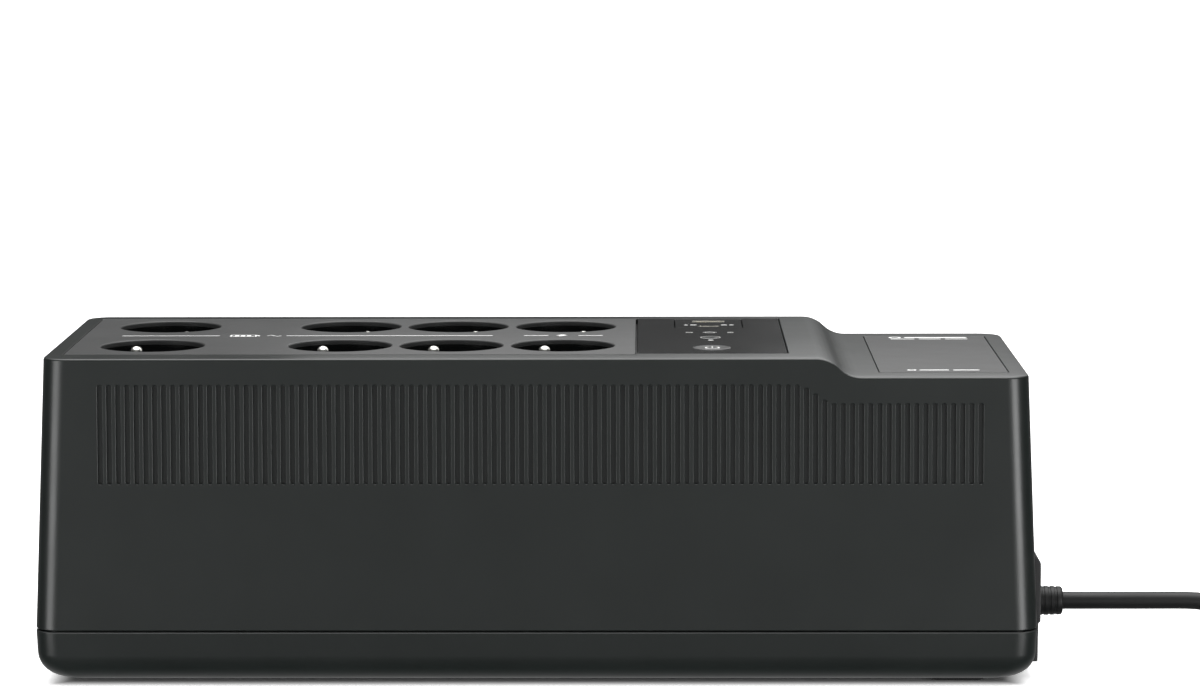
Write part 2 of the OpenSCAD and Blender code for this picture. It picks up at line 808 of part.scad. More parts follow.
module cord_coil() {
    color([0.07, 0.07, 0.07]) {
        translate([coil_pos[0], coil_pos[1], 0]) rotate_extrude($fn = 64)
            translate([coil_inner - cord_r, 0])
                square([coil_outer - coil_inner + cord_d, coil_h]);
        // straight end that runs to the plug
        translate([plug_pos[0], plug_pos[1] + plug_neck_y, plug_neck_z]) rotate([90, 0, 0])
            cylinder(h = plug_pos[1] + plug_neck_y - coil_pos[1], r = cord_r);
    }
}

module plug_body() {
    color([0.08, 0.08, 0.08]) translate([plug_pos[0], plug_pos[1], 0]) difference() {
        union() {
            rotate_extrude($fn = 64) polygon([[0, 0], [12, 0], [plug_r, 4],
                [plug_r, plug_face], [0, plug_face]]);
            translate([0, -24, plug_neck_z]) rotate([90, 0, 0])
                cylinder(h = -plug_neck_y - 24, r1 = 6.5, r2 = 4.4);
            translate([0, 0, plug_neck_z]) rotate([90, 0, 0]) cylinder(h = 24.5, r = 7);
        }
        // hole for the earth pin of a socket, and the two slots of the side clips
        translate([0, earth_gap, plug_face - 16]) cylinder(h = far, r = 2.6);
        for (side = [-1, 1])
            translate([-3.2, side * plug_r - 1.5, 8]) cube([6.4, 3, far]);
    }
}

module plug_contacts() {
    color([0.8, 0.8, 0.8]) translate([plug_pos[0], plug_pos[1], 0]) {
        for (side = [-1, 1]) {
            translate([side * pin_gap / 2, 0, plug_face])
                cylinder(h = plug_pin_l - pin_d / 2, r = pin_d / 2);
            translate([side * pin_gap / 2, 0, plug_face + plug_pin_l - pin_d / 2])
                intersection() {
                    sphere(r = pin_d / 2);
                    cylinder(h = pin_d, r = pin_d);
                }
            translate([-3, side * (plug_r - 0.9) - 0.5, 8.2]) cube([6, 1, plug_face - 9]);
        }
    }
}

top_cover();
base_pan();
outlet_deck();
control_panel();
cover_plate();
end_plate();
rubber_feet();
battery_door();
housing_screws();
socket_well(1);  // socket_well_1
socket_well(2);  // socket_well_2
socket_well(3);  // socket_well_3
socket_well(4);  // socket_well_4
socket_well(5);  // socket_well_5
socket_well(6);  // socket_well_6
socket_well(7);  // socket_well_7
socket_well(8);  // socket_well_8
shutter(1);  // shutter_1
shutter(2);  // shutter_2
shutter(3);  // shutter_3
shutter(4);  // shutter_4
shutter(5);  // shutter_5
shutter(6);  // shutter_6
shutter(7);  // shutter_7
shutter(8);  // shutter_8
earth_pins();
earth_bar();
live_strips();
neutral_strips();
contact_carrier();
carrier_screws();
power_button();
status_lens();
control_board();
usb_module();
usb_a_shell();
usb_c_shell();
usb_tongues();
breaker_body();
breaker_button();
data_socket();
battery_case();
battery_lid();
battery_terminals();
battery_lead_pos();
battery_lead_neg();
transformer_core();
transformer_winding();
transformer_bracket();
main_board();
heatsinks();
transistors();
relays();
capacitors();
internal_screws();
strain_relief();
mains_cord();
cord_coil();
plug_body();
plug_contacts();
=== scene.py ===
"""Looks of an uninterruptible power supply in the form of a power strip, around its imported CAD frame."""

import json
import math

import bmesh
import bpy
from mathutils import Matrix, Vector


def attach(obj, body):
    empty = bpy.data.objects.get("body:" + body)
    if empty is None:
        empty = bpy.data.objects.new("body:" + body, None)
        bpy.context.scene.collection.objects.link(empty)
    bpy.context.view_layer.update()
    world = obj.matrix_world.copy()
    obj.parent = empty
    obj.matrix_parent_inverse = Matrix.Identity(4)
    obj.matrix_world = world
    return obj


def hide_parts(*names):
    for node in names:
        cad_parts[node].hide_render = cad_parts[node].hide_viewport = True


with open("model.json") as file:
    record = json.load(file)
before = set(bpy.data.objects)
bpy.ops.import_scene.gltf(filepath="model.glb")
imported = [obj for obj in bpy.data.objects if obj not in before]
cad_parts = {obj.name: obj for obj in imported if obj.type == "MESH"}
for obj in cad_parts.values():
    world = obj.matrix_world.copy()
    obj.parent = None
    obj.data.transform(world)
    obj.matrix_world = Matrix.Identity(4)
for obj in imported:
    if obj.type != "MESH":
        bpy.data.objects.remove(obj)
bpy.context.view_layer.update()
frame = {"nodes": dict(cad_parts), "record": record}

MM = 0.001
SCENE = bpy.context.scene

# Sizes in millimetres, as in the CAD model
BODY_W = 374
BODY_D = 147
BODY_H = 123
STEP_DROP = 7
LOW_H = BODY_H - STEP_DROP
STEP_X = 104
STEP_RUN = 17
STEP_END = STEP_X + STEP_RUN
SEAM_Z = 21
SEAM_GAP = 0.3
SLOPE = math.tan(math.radians(2.2))
CORNER_R = 9
WALL = 2.5
PAN_Z = 1.5
PAN_ROUND = 10.5
OUTLET_WIN = (-176.6, 37.6, -58.2, 58.2)
CONTROL_WIN = (37.6, 94.4, -56, 60)
PLATE_WIN = (128, 176.4, -57.5, 57.5)
USB_WIN = (52.4, 79.4, 27.5, 56)
FIT = 0.25
PLATE_T = 2
UNDER_PLATE = BODY_H - PLATE_T
LEDGE = 2
VENT_COUNT = 97
VENT_PITCH = 3.4
VENT_W = 1.6
VENT_MID = 1.9
VENT_LOW = 76.1
WELL_R = 19.5
WELL_FLOOR = 107.5
WELL_FOOT = 103
SITES = [(x, y, 1 if y < 0 else -1) for y in (-29, 33) for x in (-146.2, -75, -32.7, 9.6)]
HOLE_OFF = 19 / 2 / math.sqrt(2)
EARTH_OFF = 10 / math.sqrt(2)
PIN_R = 2.4
BUTTON = (66.2, -38)
LENS = (66, -5)
USB_A = (66, 49)
USB_C = (66, 32.5)
PLATE_X = 189.2
END_X = 183.2
END_Y = (-56.5, 44.5)
GLAND = (-8, 20.8)
BREAKER = (18, 31)
DATA = (-36, 31)
POSTS = [(sx * 172, sy * 58.5) for sx in (-1, 1) for sy in (-1, 1)]
FEET = ((-165, -48.5), (-165, 48.5), (158, -56.5), (158, 56.5))
DOOR = (-154, 4, -50, 50)
HOOKS = (-146, -82, -18)
CORD_R = 3.4
COIL = (320, 40.75)
PLUG = (368.75, 114)


def half_w(z):
    return BODY_W / 2 - (z - SEAM_Z) * SLOPE


def half_d(z):
    return BODY_D / 2 - (z - SEAM_Z) * SLOPE


def at(x, y, z=0, turn=0):
    return Matrix.Translation((x, y, z)) @ turned(turn, "Z")


def turned(angle, axis):
    return Matrix.Rotation(math.radians(angle), 4, axis)


def along_x(y, z):
    """Place whose Z axis is the frame's +X, at that depth and height."""
    return at(0, y, z) @ turned(90, "Y")


def add_object(name, data):
    obj = bpy.data.objects.new(name, data)
    SCENE.collection.objects.link(obj)
    return obj


# ---- camera and mains lead ----


def add_camera():
    data = bpy.data.cameras.new("camera")
    data.lens = 124.5
    data.sensor_width = 36
    data.clip_end = 60
    camera = add_object("camera", data)
    place = at(0.04065, -1.5919, 0.3116, 0.62)
    camera.matrix_world = place @ turned(90 - 6.86, "X") @ turned(-0.13, "Z")
    SCENE.camera = camera


def between(a, b, c, d, t):
    """Point on the smooth curve through four points, between the middle two."""
    slope = (c - a) * t
    bend = (2 * a - 5 * b + 4 * c - d) * t * t
    twist = (3 * b - a - 3 * c + d) * t * t * t
    return 0.5 * (2 * b + slope + bend + twist)


# The lead from the strain relief to the coil, as (x, height), all at the gland's depth
ROUTE = (
    *((202 + 12 * i, 20.8) for i in range(5)),
    (257, 20.2),
    (264, 18.3),
    (270, 15.5),
    (275, 12.1),
    (280, 8.7),
    (286, 5.9),
    (293, 4.0),
    *((300 + 10 * i, CORD_R) for i in range(3)),
)


def coil_points():
    """The coil's two layers, inward on the floor and outward on top, a diameter apart."""
    step = 10
    half = 1125
    ease = 60
    points = []
    for i in range(1, 2 * half // step + 1):
        along = i * step - half
        shrink = math.hypot(half, ease) - math.hypot(along, ease)
        radius = 48.75 - 2 * CORD_R / 360 * shrink
        t = min(max((along + 50) / 100, 0), 1)
        height = CORD_R + 2 * CORD_R * t * t * (3 - 2 * t)
        points.append(Vector((*arc(*COIL, radius, i * step - 90)[0], height)))
    return points


def cord_points():
    route = [Vector((x, GLAND[0], z)) for x, z in ROUTE]
    points = []
    last = len(route) - 1
    for i in range(last):
        a = route[max(i - 1, 0)]
        d = route[min(i + 2, last)]
        points += [between(a, route[i], route[i + 1], d, t) for t in (0, 0.5)]
    points.append(route[-1])
    points += coil_points()
    return points + [Vector((PLUG[0], y, 3 * CORD_R)) for y in (48, 56, 64, 71)]


def add_cord(points):
    data = bpy.data.curves.new("mains_lead", "CURVE")
    data.dimensions = "3D"
    data.bevel_depth = CORD_R * MM
    data.bevel_resolution = 6
    data.use_fill_caps = True
    spline = data.splines.new("POLY")
    spline.points.add(len(points) - 1)
    for place, point in zip(spline.points, points):
        place.co = (*(point * MM), 1)
    spline.use_smooth = True
    return add_object("mains_lead", data)


# ---- shapes ----


def arc(x, y, radius, first=0, span=360, steps=1):
    """Points about a centre, from an angle in degrees over a span."""
    turns = [math.radians(first + span * k / steps) for k in range(steps + 1)]
    return [(x + radius * math.cos(t), y + radius * math.sin(t)) for t in turns]


class Shape:
    """Closed solids side by side, as points in millimetres and faces."""

    def __init__(self):
        self.points = []
        self.faces = []

    def add(self, points, faces, place=None):
        start = len(self.points)
        place = place or Matrix()
        self.points += [place @ Vector(p) for p in points]
        self.faces += [[start + i for i in face] for face in faces]
        return self

    def loft(self, loops, place=None, around=False):
        """Skin over loops of the same number of points, closed by end faces or into a ring."""
        n = len(loops[0])
        count = len(loops)
        faces = []
        for i in range(count if around else count - 1):
            a = i * n
            b = (i + 1) % count * n
            for k in range(n):
                m = (k + 1) % n
                faces.append([a + k, a + m, b + m, b + k])
        if not around:
            faces.append(list(range(n))[::-1])
            faces.append(list(range((count - 1) * n, count * n)))
        return self.add(sum(loops, []), faces, place)

    def lathe(self, profile, place=None, steps=48):
        """Solid turned about Z from (radius, height) points; a radius of 0 closes an end."""
        points = []
        rings = []
        for radius, height in profile:
            loop = arc(0, 0, radius, steps=steps)[:-1] if radius else [(0, 0)]
            rings.append(range(len(points), len(points) + len(loop)))
            points += [(x, y, height) for x, y in loop]
        faces = []
        for low, high in zip(rings, rings[1:] + rings[:1]):
            a = len(low)
            b = len(high)
            for k in range(steps if a + b > 2 else 0):
                m = k + 1
                face = [low[k % a], low[m % a], high[m % b], high[k % b]]
                faces.append(list(dict.fromkeys(face)))
        return self.add(points, faces, place)

    def rod(self, profile, place=None, steps=48):
        """Turned solid whose open ends are closed flat."""
        ends = [[(0, z)] if radius else [] for radius, z in (profile[0], profile[-1])]
        return self.lathe([*ends[0], *profile, *ends[1]], place, steps)

    def slab(self, outline, levels, place=None):
        """Upright solid with the outline grown by an amount at each (height, growth) level."""
        return self.loft([[(x, y, z) for x, y in outline(grow)] for z, grow in levels], place)

    def sideways(self, outline, levels):
        """Solid along X, from an outline in (y, z) grown by an amount at each (x, growth) level."""
        return self.loft([[(x, y, z) for y, z in outline(grow)] for x, grow in levels])

    def block(self, x0, x1, y0, y1, z0, z1, edge=0.3, corner=0.6):
        """Box with rounded upright edges and chamfered ends."""
        levels = ((z0, -edge), (z0 + edge, 0), (z1 - edge, 0), (z1, -edge))
        return self.slab(box_outline(x0, x1, y0, y1, corner), levels)

    def show(self, name, *values, **settings):
        return dress(self.build(name), *values, **settings)

    def build(self, name):
        mesh = bpy.data.meshes.new(name)
        mesh.from_pydata([p * MM for p in self.points], [], self.faces)
        tidy = bmesh.new()
        tidy.from_mesh(mesh)
        bmesh.ops.recalc_face_normals(tidy, faces=tidy.faces)
        tidy.to_mesh(mesh)
        tidy.free()
        return add_object(name, mesh)


def box_outline(x0, x1, y0, y1, corner, steps=4):
    """Rounded rectangle, counterclockwise, as a function of how far it is grown."""

    def outline(grow):
        r = max(corner + grow, 0.02)
        points = []
        for i, (x, y) in enumerate(((x1, y0), (x1, y1), (x0, y1), (x0, y0))):
            cx = x + (grow - r) * (1 if x == x1 else -1)
            cy = y + (grow - r) * (1 if y == y1 else -1)
            points += arc(cx, cy, r, 90 * i - 90, 90, steps)
        return points

    return outline


def round_outline(x, y, radius, steps=32):
    return lambda grow: arc(x, y, radius + grow, steps=steps)[:-1]


def slot_outline(x, y, width, height, steps=5):
    """Slot with round ends, its longer side either way."""

    def outline(grow):
        w = width / 2 + grow
        h = height / 2 + grow
        r = min(w, h)
        points = []
        for i, (sx, sy) in enumerate(((1, -1), (1, 1), (-1, 1), (-1, -1))):
            points += arc(x + sx * (w - r), y + sy * (h - r), r, 90 * i - 90, 90, steps)
        return [p for p, q in zip(points, points[1:] + points[:1]) if math.dist(p, q) > 1e-4]

    return outline


def box_about(x, y, half_x, half_y, corner, steps=4):
    """Rounded rectangle about a centre."""
    return box_outline(x - half_x, x + half_x, y - half_y, y + half_y, corner, steps)


def window_outline(win, corner=1.2, inset=0):
    return box_outline(win[0] + inset, win[1] - inset, win[2] + inset, win[3] - inset, corner)


def carve(obj, shape, operation="DIFFERENCE"):
    """Cuts the shape out of the object, or adds it with UNION."""
    tool = shape.build("tool")
    cut = obj.modifiers.new("cut", "BOOLEAN")
    cut.object = tool
    cut.solver = "EXACT"
    cut.operation = operation
    bpy.context.view_layer.update()
    done = obj.evaluated_get(bpy.context.evaluated_depsgraph_get())
    mesh = bpy.data.meshes.new_from_object(done)
    obj.modifiers.clear()
    old = obj.data
    obj.data = mesh
    mesh.name = obj.name
    bpy.data.meshes.remove(old)
    bpy.data.objects.remove(tool)


add_camera()
cord_path = cord_points()
cord = add_cord(cord_path)
cord_length = sum((b - a).length for a, b in zip(cord_path, cord_path[1:])) * MM


# ---- materials ----


class Graph:
    """Node tree of a material or of the surroundings."""

    def __init__(self, tree):
        self.tree = tree

    def feed(self, node, inputs):
        """Gives each named input a link or a value."""
        for key, value in inputs.items():
            if isinstance(value, bpy.types.NodeSocket):
                self.tree.links.new(value, node.inputs[key])
            else:
                node.inputs[key].default_value = value

    def node(self, kind, output, inputs, **settings):
        """Output of a new node."""
        node = self.tree.nodes.new("ShaderNode" + kind)
        for key, value in settings.items():
            setattr(node, key, value)
        self.feed(node, inputs)
        return node.outputs[output]

    def reckon(self, operation, *values):
        return self.node("Math", "Value", dict(enumerate(values)), operation=operation)

    def axes(self, coordinates):
        """Outputs X, Y and Z of a kind of coordinates."""
        where = self.node("TexCoord", coordinates, {})
        return self.node("SeparateXYZ", "X", {"Vector": where}).node.outputs


class Paint(Graph):
    """Material on the object's own coordinates, in metres."""

    def __init__(self, name):
        self.material = bpy.data.materials.new(name)
        self.material.use_nodes = True
        super().__init__(self.material.node_tree)
        self.shader = self.tree.nodes["Principled BSDF"]
        self.where = self.stretched((1, 1, 1))

    def stretched(self, scale):
        where = self.node("TexCoord", "Object", {})
        return self.node("Mapping", "Vector", {"Vector": where, "Scale": scale})

    def noise(self, size, detail=2.0, rough=0.5, where=None):
        """Noise with blotches of about the given size in millimetres."""
        inputs = {"Scale": 1 / (size * MM), "Detail": detail, "Roughness": rough}
        return self.node("TexNoise", "Fac", {"Vector": where or self.where, **inputs})

    def tint(self, value, low, high):
        """Base colour that runs from low to high with a value."""
        ramp = self.node("ValToRGB", "Color", {"Fac": value})
        for stop, place, colour in zip(ramp.node.color_ramp.elements, (0.3, 0.7), (low, high)):
            stop.position = place
            stop.color = (*colour, 1)
        self.set("Base Color", ramp)

    def gloss(self, value, low, high):
        """Roughness that runs from low to high with a value."""
        inputs = {"From Min": 0.3, "From Max": 0.7, "To Min": low, "To Max": high}
        self.set("Roughness", self.node("MapRange", "Result", {"Value": value, **inputs}))

    def bump(self, value, height, **under):
        """Bump of the given height in millimetres, which can lie on another one."""
        inputs = {"Strength": 1, "Distance": height * MM, "Height": value, **under}
        normal = self.node("Bump", "Normal", inputs)
        self.set("Normal", normal)
        return normal

    def set(self, key, value):
        self.feed(self.shader, {key: value})


def shade(colour, factor):
    return tuple(min(c * factor, 1) for c in colour)


def moulded(name, colour, rough=0.5, grain=0.5, height=0.012, specular=0.5, cloud=0.06):
    """Moulded plastic: spark-eroded grain, flow clouds in its colour and a roughness that varies."""
    paint = Paint(name)
    clouds = paint.noise(28, 3)
    paint.tint(clouds, shade(colour, 1 - cloud), shade(colour, 1 + cloud))
    paint.gloss(clouds, rough * 0.93, rough * 1.07)
    dots = paint.bump(paint.noise(grain * 2.4, 1), height * 0.7)
    paint.bump(paint.noise(grain, 3, 0.6), height, Normal=dots)
    paint.set("Specular IOR Level", specular)
    return paint.material


def metal(name, colour, rough, stretch=(1, 1, 1)):
    """Plated or bare metal with fine drawing lines and a little tarnish."""
    paint = Paint(name)
    blotches = paint.noise(4, 3)
    paint.tint(blotches, shade(colour, 0.88), shade(colour, 1.04))
    paint.gloss(blotches, rough * 0.85, rough * 1.2)
    paint.bump(paint.noise(0.35, 3, 0.5, paint.stretched(stretch)), 0.004)
    paint.set("Metallic", 1)
    return paint.material


def striped(name, low, high, direction, period, metallic, rough, height):
    """Layers seen edge on: the core's laminations or the winding's turns of wire."""
    paint = Paint(name)
    inputs = {"Vector": paint.where, "Scale": math.pi / 10 / (period * MM), "Distortion": 0.4, "Detail": 1}
    stripes = paint.node("TexWave", "Fac", inputs, bands_direction=direction)
    paint.tint(stripes, low, high)
    paint.gloss(paint.noise(5, 3), rough * 0.8, rough * 1.2)
    paint.bump(stripes, height)
    paint.set("Metallic", metallic)
    return paint.material


def circuit_board():
    """Green solder mask over copper tracks, with tinned pads."""
    paint = Paint("circuit_board")
    green = {
        "Color1": (0.012, 0.10, 0.04, 1),
        "Color2": (0.016, 0.13, 0.05, 1),
        "Mortar": (0.03, 0.22, 0.07, 1),
    }
    sizes = {"Vector": paint.where, "Scale": 1 / (9 * MM), "Mortar Size": 0.06}
    tracks = paint.node("TexBrick", "Color", {**sizes, **green})
    spots = {"Vector": paint.where, "Scale": 1 / (5.1 * MM), "Randomness": 0.35}
    near = paint.reckon("LESS_THAN", paint.node("TexVoronoi", "Distance", spots), 0.16)
    tin = {"Factor": near, "A": tracks, "B": (0.55, 0.52, 0.45, 1)}
    paint.set("Base Color", paint.node("Mix", "Result", tin, data_type="RGBA"))
    paint.gloss(paint.noise(6), 0.28, 0.4)
    paint.bump(tracks.node.outputs["Fac"], 0.03)
    return paint.material


def clear_lens():
    """Clear, slightly milky plastic of the round indicator."""
    paint = Paint("lens_clear")
    haze = paint.noise(1.2)
    paint.tint(haze, (0.055, 0.06, 0.058), (0.075, 0.08, 0.078))
    paint.gloss(haze, 0.08, 0.14)
    paint.set("Coat Weight", 0.6)
    paint.set("Coat Roughness", 0.05)
    paint.bump(haze, 0.004)
    return paint.material


# Colour, roughness, grain size and bump height in millimetres, specular level, cloudiness
PLASTICS = {
    "housing_plastic": ((0.0066, 0.0086, 0.0080), 0.34, 0.45, 0.008),
    "pan_plastic": ((0.0058, 0.0080, 0.0074), 0.34, 0.45, 0.008),
    "deck_plastic": ((0.0210, 0.0218, 0.0216), 0.52, 0.5, 0.016),
    "panel_gloss": ((0.012, 0.0125, 0.0125), 0.15, 6, 0.003, 0.35),
    "end_plastic": ((0.014, 0.014, 0.0145), 0.42),
    "foot_rubber": ((0.012, 0.012, 0.012), 0.8, 0.35, 0.02, 0.3),
    "well_plastic": ((0.0045, 0.005, 0.005), 0.2, 3, 0.004),
    "shutter_plastic": ((0.05, 0.05, 0.052), 0.4),
    "carrier_plastic": ((0.62, 0.6, 0.53),),
    "button_plastic": ((0.03, 0.031, 0.031), 0.3, 0.6, 0.006),
    "tongue_plastic": ((0.75, 0.75, 0.73), 0.4, 0.3, 0.004),
    "breaker_plastic": ((0.01, 0.01, 0.01), 0.3, 0.6, 0.008),
    "reset_plastic": ((0.5, 0.5, 0.48), 0.4),
    "battery_plastic": ((0.018, 0.018, 0.02), 0.55, 0.6, 0.02),
    "lead_red": ((0.42, 0.012, 0.01), 0.42, 0.6, 0.01),
    "lead_black": ((0.012, 0.012, 0.012), 0.42, 0.6, 0.01),
    "transistor_black": ((0.015, 0.015, 0.015), 0.5, 0.3, 0.006),
    "relay_blue": ((0.015, 0.09, 0.3), 0.35, 0.6, 0.006),
    "capacitor_sleeve": ((0.02, 0.03, 0.09), 0.28, 0.8, 0.004),
    "cord_pvc": ((0.004, 0.0044, 0.0044), 0.5, 0.5, 0.012, 0.35),
    "print_white": ((0.8, 0.8, 0.79), 0.55, 0.25, 0.004, 0.4, 0.03),
    "print_grey": ((0.42, 0.42, 0.41), 0.5, 0.25, 0.004, 0.4, 0.03),
    "tie_nylon": ((0.02, 0.02, 0.02), 0.62, 0.35, 0.03, 0.3),
}
# Colour, roughness and how the drawing lines are stretched
METALS = {
    "screw_steel": ((0.42, 0.42, 0.43), 0.34),
    "pin_nickel": ((0.78, 0.77, 0.73), 0.2),
    "contact_brass": ((0.75, 0.55, 0.22), 0.3),
    "strap_steel": ((0.55, 0.55, 0.54), 0.38, (1, 0.06, 0.06)),
    "heatsink_aluminium": ((0.75, 0.76, 0.77), 0.36, (1, 1, 0.05)),
}
# Darker and lighter colour, direction, period in millimetres, metallic, roughness, bump height
STRIPES = {
    "lamination_steel": ((0.1, 0.095, 0.09), (0.3, 0.29, 0.28), "Y", 0.7, 0.9, 0.42, 0.03),
    "winding_copper": ((0.2, 0.06, 0.02), (0.72, 0.3, 0.1), "Z", 1.1, 0.85, 0.3, 0.12),
}
MATERIALS = {"lens_clear": clear_lens(), "circuit_board": circuit_board()}
for maker, table in ((moulded, PLASTICS), (metal, METALS), (striped, STRIPES)):
    MATERIALS.update({name: maker(name, *values) for name, values in table.items()})


def dress(obj, slot, *stands_for, body="housing", angle=32):
    """Shading, material, and what the piece rides on and stands for."""
    mesh = obj.data
    if obj.type == "MESH":
        mesh.shade_smooth()
        mesh.set_sharp_from_angle(angle=math.radians(angle))
        obj.modifiers.new("normals", "WEIGHTED_NORMAL").keep_sharp = True
    mesh.materials.clear()
    mesh.materials.append(MATERIALS[slot])
    if stands_for:
        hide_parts(*stands_for)
    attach(obj, body)
    return obj


# ---- stage ----


def add_light(name, kind, place, aim, energy, **settings):
    data = bpy.data.lights.new(name, kind)
    data.energy = energy
    for key, value in settings.items():
        setattr(data, key, value)
    light = add_object(name, data)
    light.location = place
    direction = Vector(aim) - Vector(place)
    light.rotation_euler = direction.to_track_quat("-Z", "Y").to_euler()
    return light


def area_light(name, place, aim, width, height, radiance):
    """Rectangular soft light of a given brightness."""
    energy = radiance * math.pi * width * height
    size = {"shape": "RECTANGLE", "size": width, "size_y": height}
    add_light(name, "AREA", place, aim, energy, **size).visible_camera = False


def side_light(name, azimuth, width, radiance):
    """Upright light at an angle from straight in front, positive to the right."""
    x, y = arc(0, 0, 1.3, azimuth - 90)[0]
    area_light(name, (x, y, 0.02), (0, 0, 0.02), width, 0.45, radiance)


def painted_floor_glow(paint):
    """Painted glow on the floor, rising outside the base pan's footprint; it stops under the pan and
    leaves a thin contact shadow.
    """
    axes = paint.axes("Object")
    past_side = paint.reckon("SUBTRACT", paint.reckon("ABSOLUTE", axes["X"]), 0.174)
    past_front = paint.reckon("SUBTRACT", paint.reckon("ABSOLUTE", axes["Y"]), 0.0605)
    past = paint.reckon("MAXIMUM", past_side, past_front)
    inputs = {"Value": past, "From Max": 0.011, "To Max": 0.6}
    return paint.node("MapRange", "Result", inputs, interpolation_type="SMOOTHSTEP")


def add_floor():
    """Pale floor. Lights and mirror images pass it, so that dark flags can stand below its level."""
    mesh = bpy.data.meshes.new("floor")
    mesh.from_pydata([(-20, -20, 0), (20, -20, 0), (20, 30, 0), (-20, 30, 0)], [], [(0, 1, 2, 3)])
    floor = add_object("floor", mesh)
    paint = Paint("floor")
    paint.tint(paint.noise(400), (0.9, 0.9, 0.9), (0.92, 0.92, 0.92))
    paint.feed(paint.shader, {"Roughness": 0.8, "Specular IOR Level": 0.1})
    # painted glow: the floor emits light around the base pan, which brightens the shadow there
    paint.feed(paint.shader, {"Emission Color": (1, 1, 1, 1), "Emission Strength": painted_floor_glow(paint)})
    mesh.materials.append(paint.material)
    floor.visible_glossy = False
    floor.visible_shadow = False


# Brightness mirrored from each height, from the front horizon down, under, up the back and over
SURROUND = [(0, 0.46), (0.03, 0.45), (0.1, 0.1), (0.22, 0.05), (0.29, 0.32), (0.42, 0.5), (0.475, 0.3)]
SURROUND += [(0.5, 0.05), (0.56, 0.12), (0.62, 0.6), (0.72, 0.9), (0.82, 0.35), (0.93, 0.1)]
SURROUND += [(0.97, 0.45), (1, 0.46)]
BRIGHTEST = 1.2


def mirrored_bands(graph):
    """Bands around the X axis, which fade towards both ends of it."""
    axes = graph.axes("Generated")
    turn = graph.reckon("ARCTAN2", axes["Z"], axes["Y"])
    full = {"Value": turn, "From Min": -math.pi, "From Max": math.pi}
    bands = graph.node("ValToRGB", "Color", {"Fac": graph.node("MapRange", "Result", full)})
    stops = bands.node.color_ramp.elements
    for place, value in SURROUND[1:-1]:
        stops.new(place)
    for stop, (place, value) in zip(stops, SURROUND):
        stop.position = place
        stop.color = (*[value / BRIGHTEST] * 3, 1)
    aside = graph.reckon("MULTIPLY", axes["X"], axes["X"])
    span = {"From Min": 0.1, "From Max": 0.8, "To Min": BRIGHTEST, "To Max": 0.15}
    fade = graph.node("MapRange", "Result", {"Value": aside, **span})
    return graph.node("VectorMath", "Vector", {0: bands, "Scale": fade}, operation="SCALE")


def add_world():
    """White surroundings for the eye, dim for the light, and banded for what gloss mirrors."""
    world = bpy.data.worlds.new("studio")
    world.use_nodes = True
    SCENE.world = world
    graph = Graph(world.node_tree)
    path = graph.node("LightPath", "Is Camera Ray", {})
    eye = {"Factor": path, "A": (0.28, 0.28, 0.28, 1), "B": (1, 1, 1, 1)}
    seen = graph.node("Mix", "Result", eye, data_type="RGBA")
    gloss = {"Factor": path.node.outputs["Is Glossy Ray"], "A": seen, "B": mirrored_bands(graph)}
    both = graph.node("Mix", "Result", gloss, data_type="RGBA")
    graph.feed(world.node_tree.nodes["Background"], {"Color": both})


SCENE.view_settings.view_transform = "Standard"
add_world()
add_floor()
add_light("ceiling", "SUN", (0, 0, 3), (0, -0.25, 0), 3.2, angle=math.radians(80))
area_light("overhead", (0.05, 0.1, 1.0), (0.05, 0, 0.12), 1.1, 0.5, 3.2)
area_light("back_light", (0.5, 1.5, 0.64), (0.1, 0, 0.12), 0.8, 0.4, 0.85)
area_light("edge_light", (0.06, 0.1, 0.24), (0.06, -0.3, 0.12), 0.33, 0.13, 1.15)
side_light("left_light", -50, 0.62, 6.2)
side_light("right_light", 47, 0.52, 9.5)


# ---- top cover ----


def deck_height(x):
    """Height of the deck, with its S-shaped step."""
    if x <= STEP_X:
        return BODY_H
    if x >= STEP_END:
        return LOW_H
    half = STEP_RUN / 2
    r = (half * half + STEP_DROP * STEP_DROP / 4) / STEP_DROP
    if x < STEP_X + half:
        return BODY_H - r + math.sqrt(r * r - (x - STEP_X) ** 2)
    return LOW_H + r - math.sqrt(r * r - (STEP_END - x) ** 2)


def cover_columns():
    """Counterclockwise: (0, side, x) along the front and back, (x side, y side, angle) at a corner."""
    half = VENT_PITCH / 2
    xs = {round(VENT_MID + (i - VENT_COUNT) * half, 4) for i in range(2 * VENT_COUNT + 1)}
    xs |= {round(STEP_X + STEP_RUN * i / 20, 4) for i in range(21)}
    ends = (STEP_X, STEP_END)
    kept = [x for x in sorted(xs) if x in ends or all(abs(x - e) > 0.3 for e in ends)]
    columns = []
    for side, row, first in ((-1, kept, -90), (1, kept[::-1], 90)):
        columns += [(0, side, x) for x in row]
        columns += [(-side, side, first + 9 * k) for k in range(11)]
        columns += [(-side, -side, first + 90 + 9 * k) for k in range(11)]
    return columns


def cover_spot(column, z, inset):
    sx, sy, value = column
    if sx == 0:
        return value, sy * (half_d(z) - inset)
    return arc(sx * (half_w(z) - CORNER_R), sy * (half_d(z) - CORNER_R), CORNER_R - inset, value)[0]


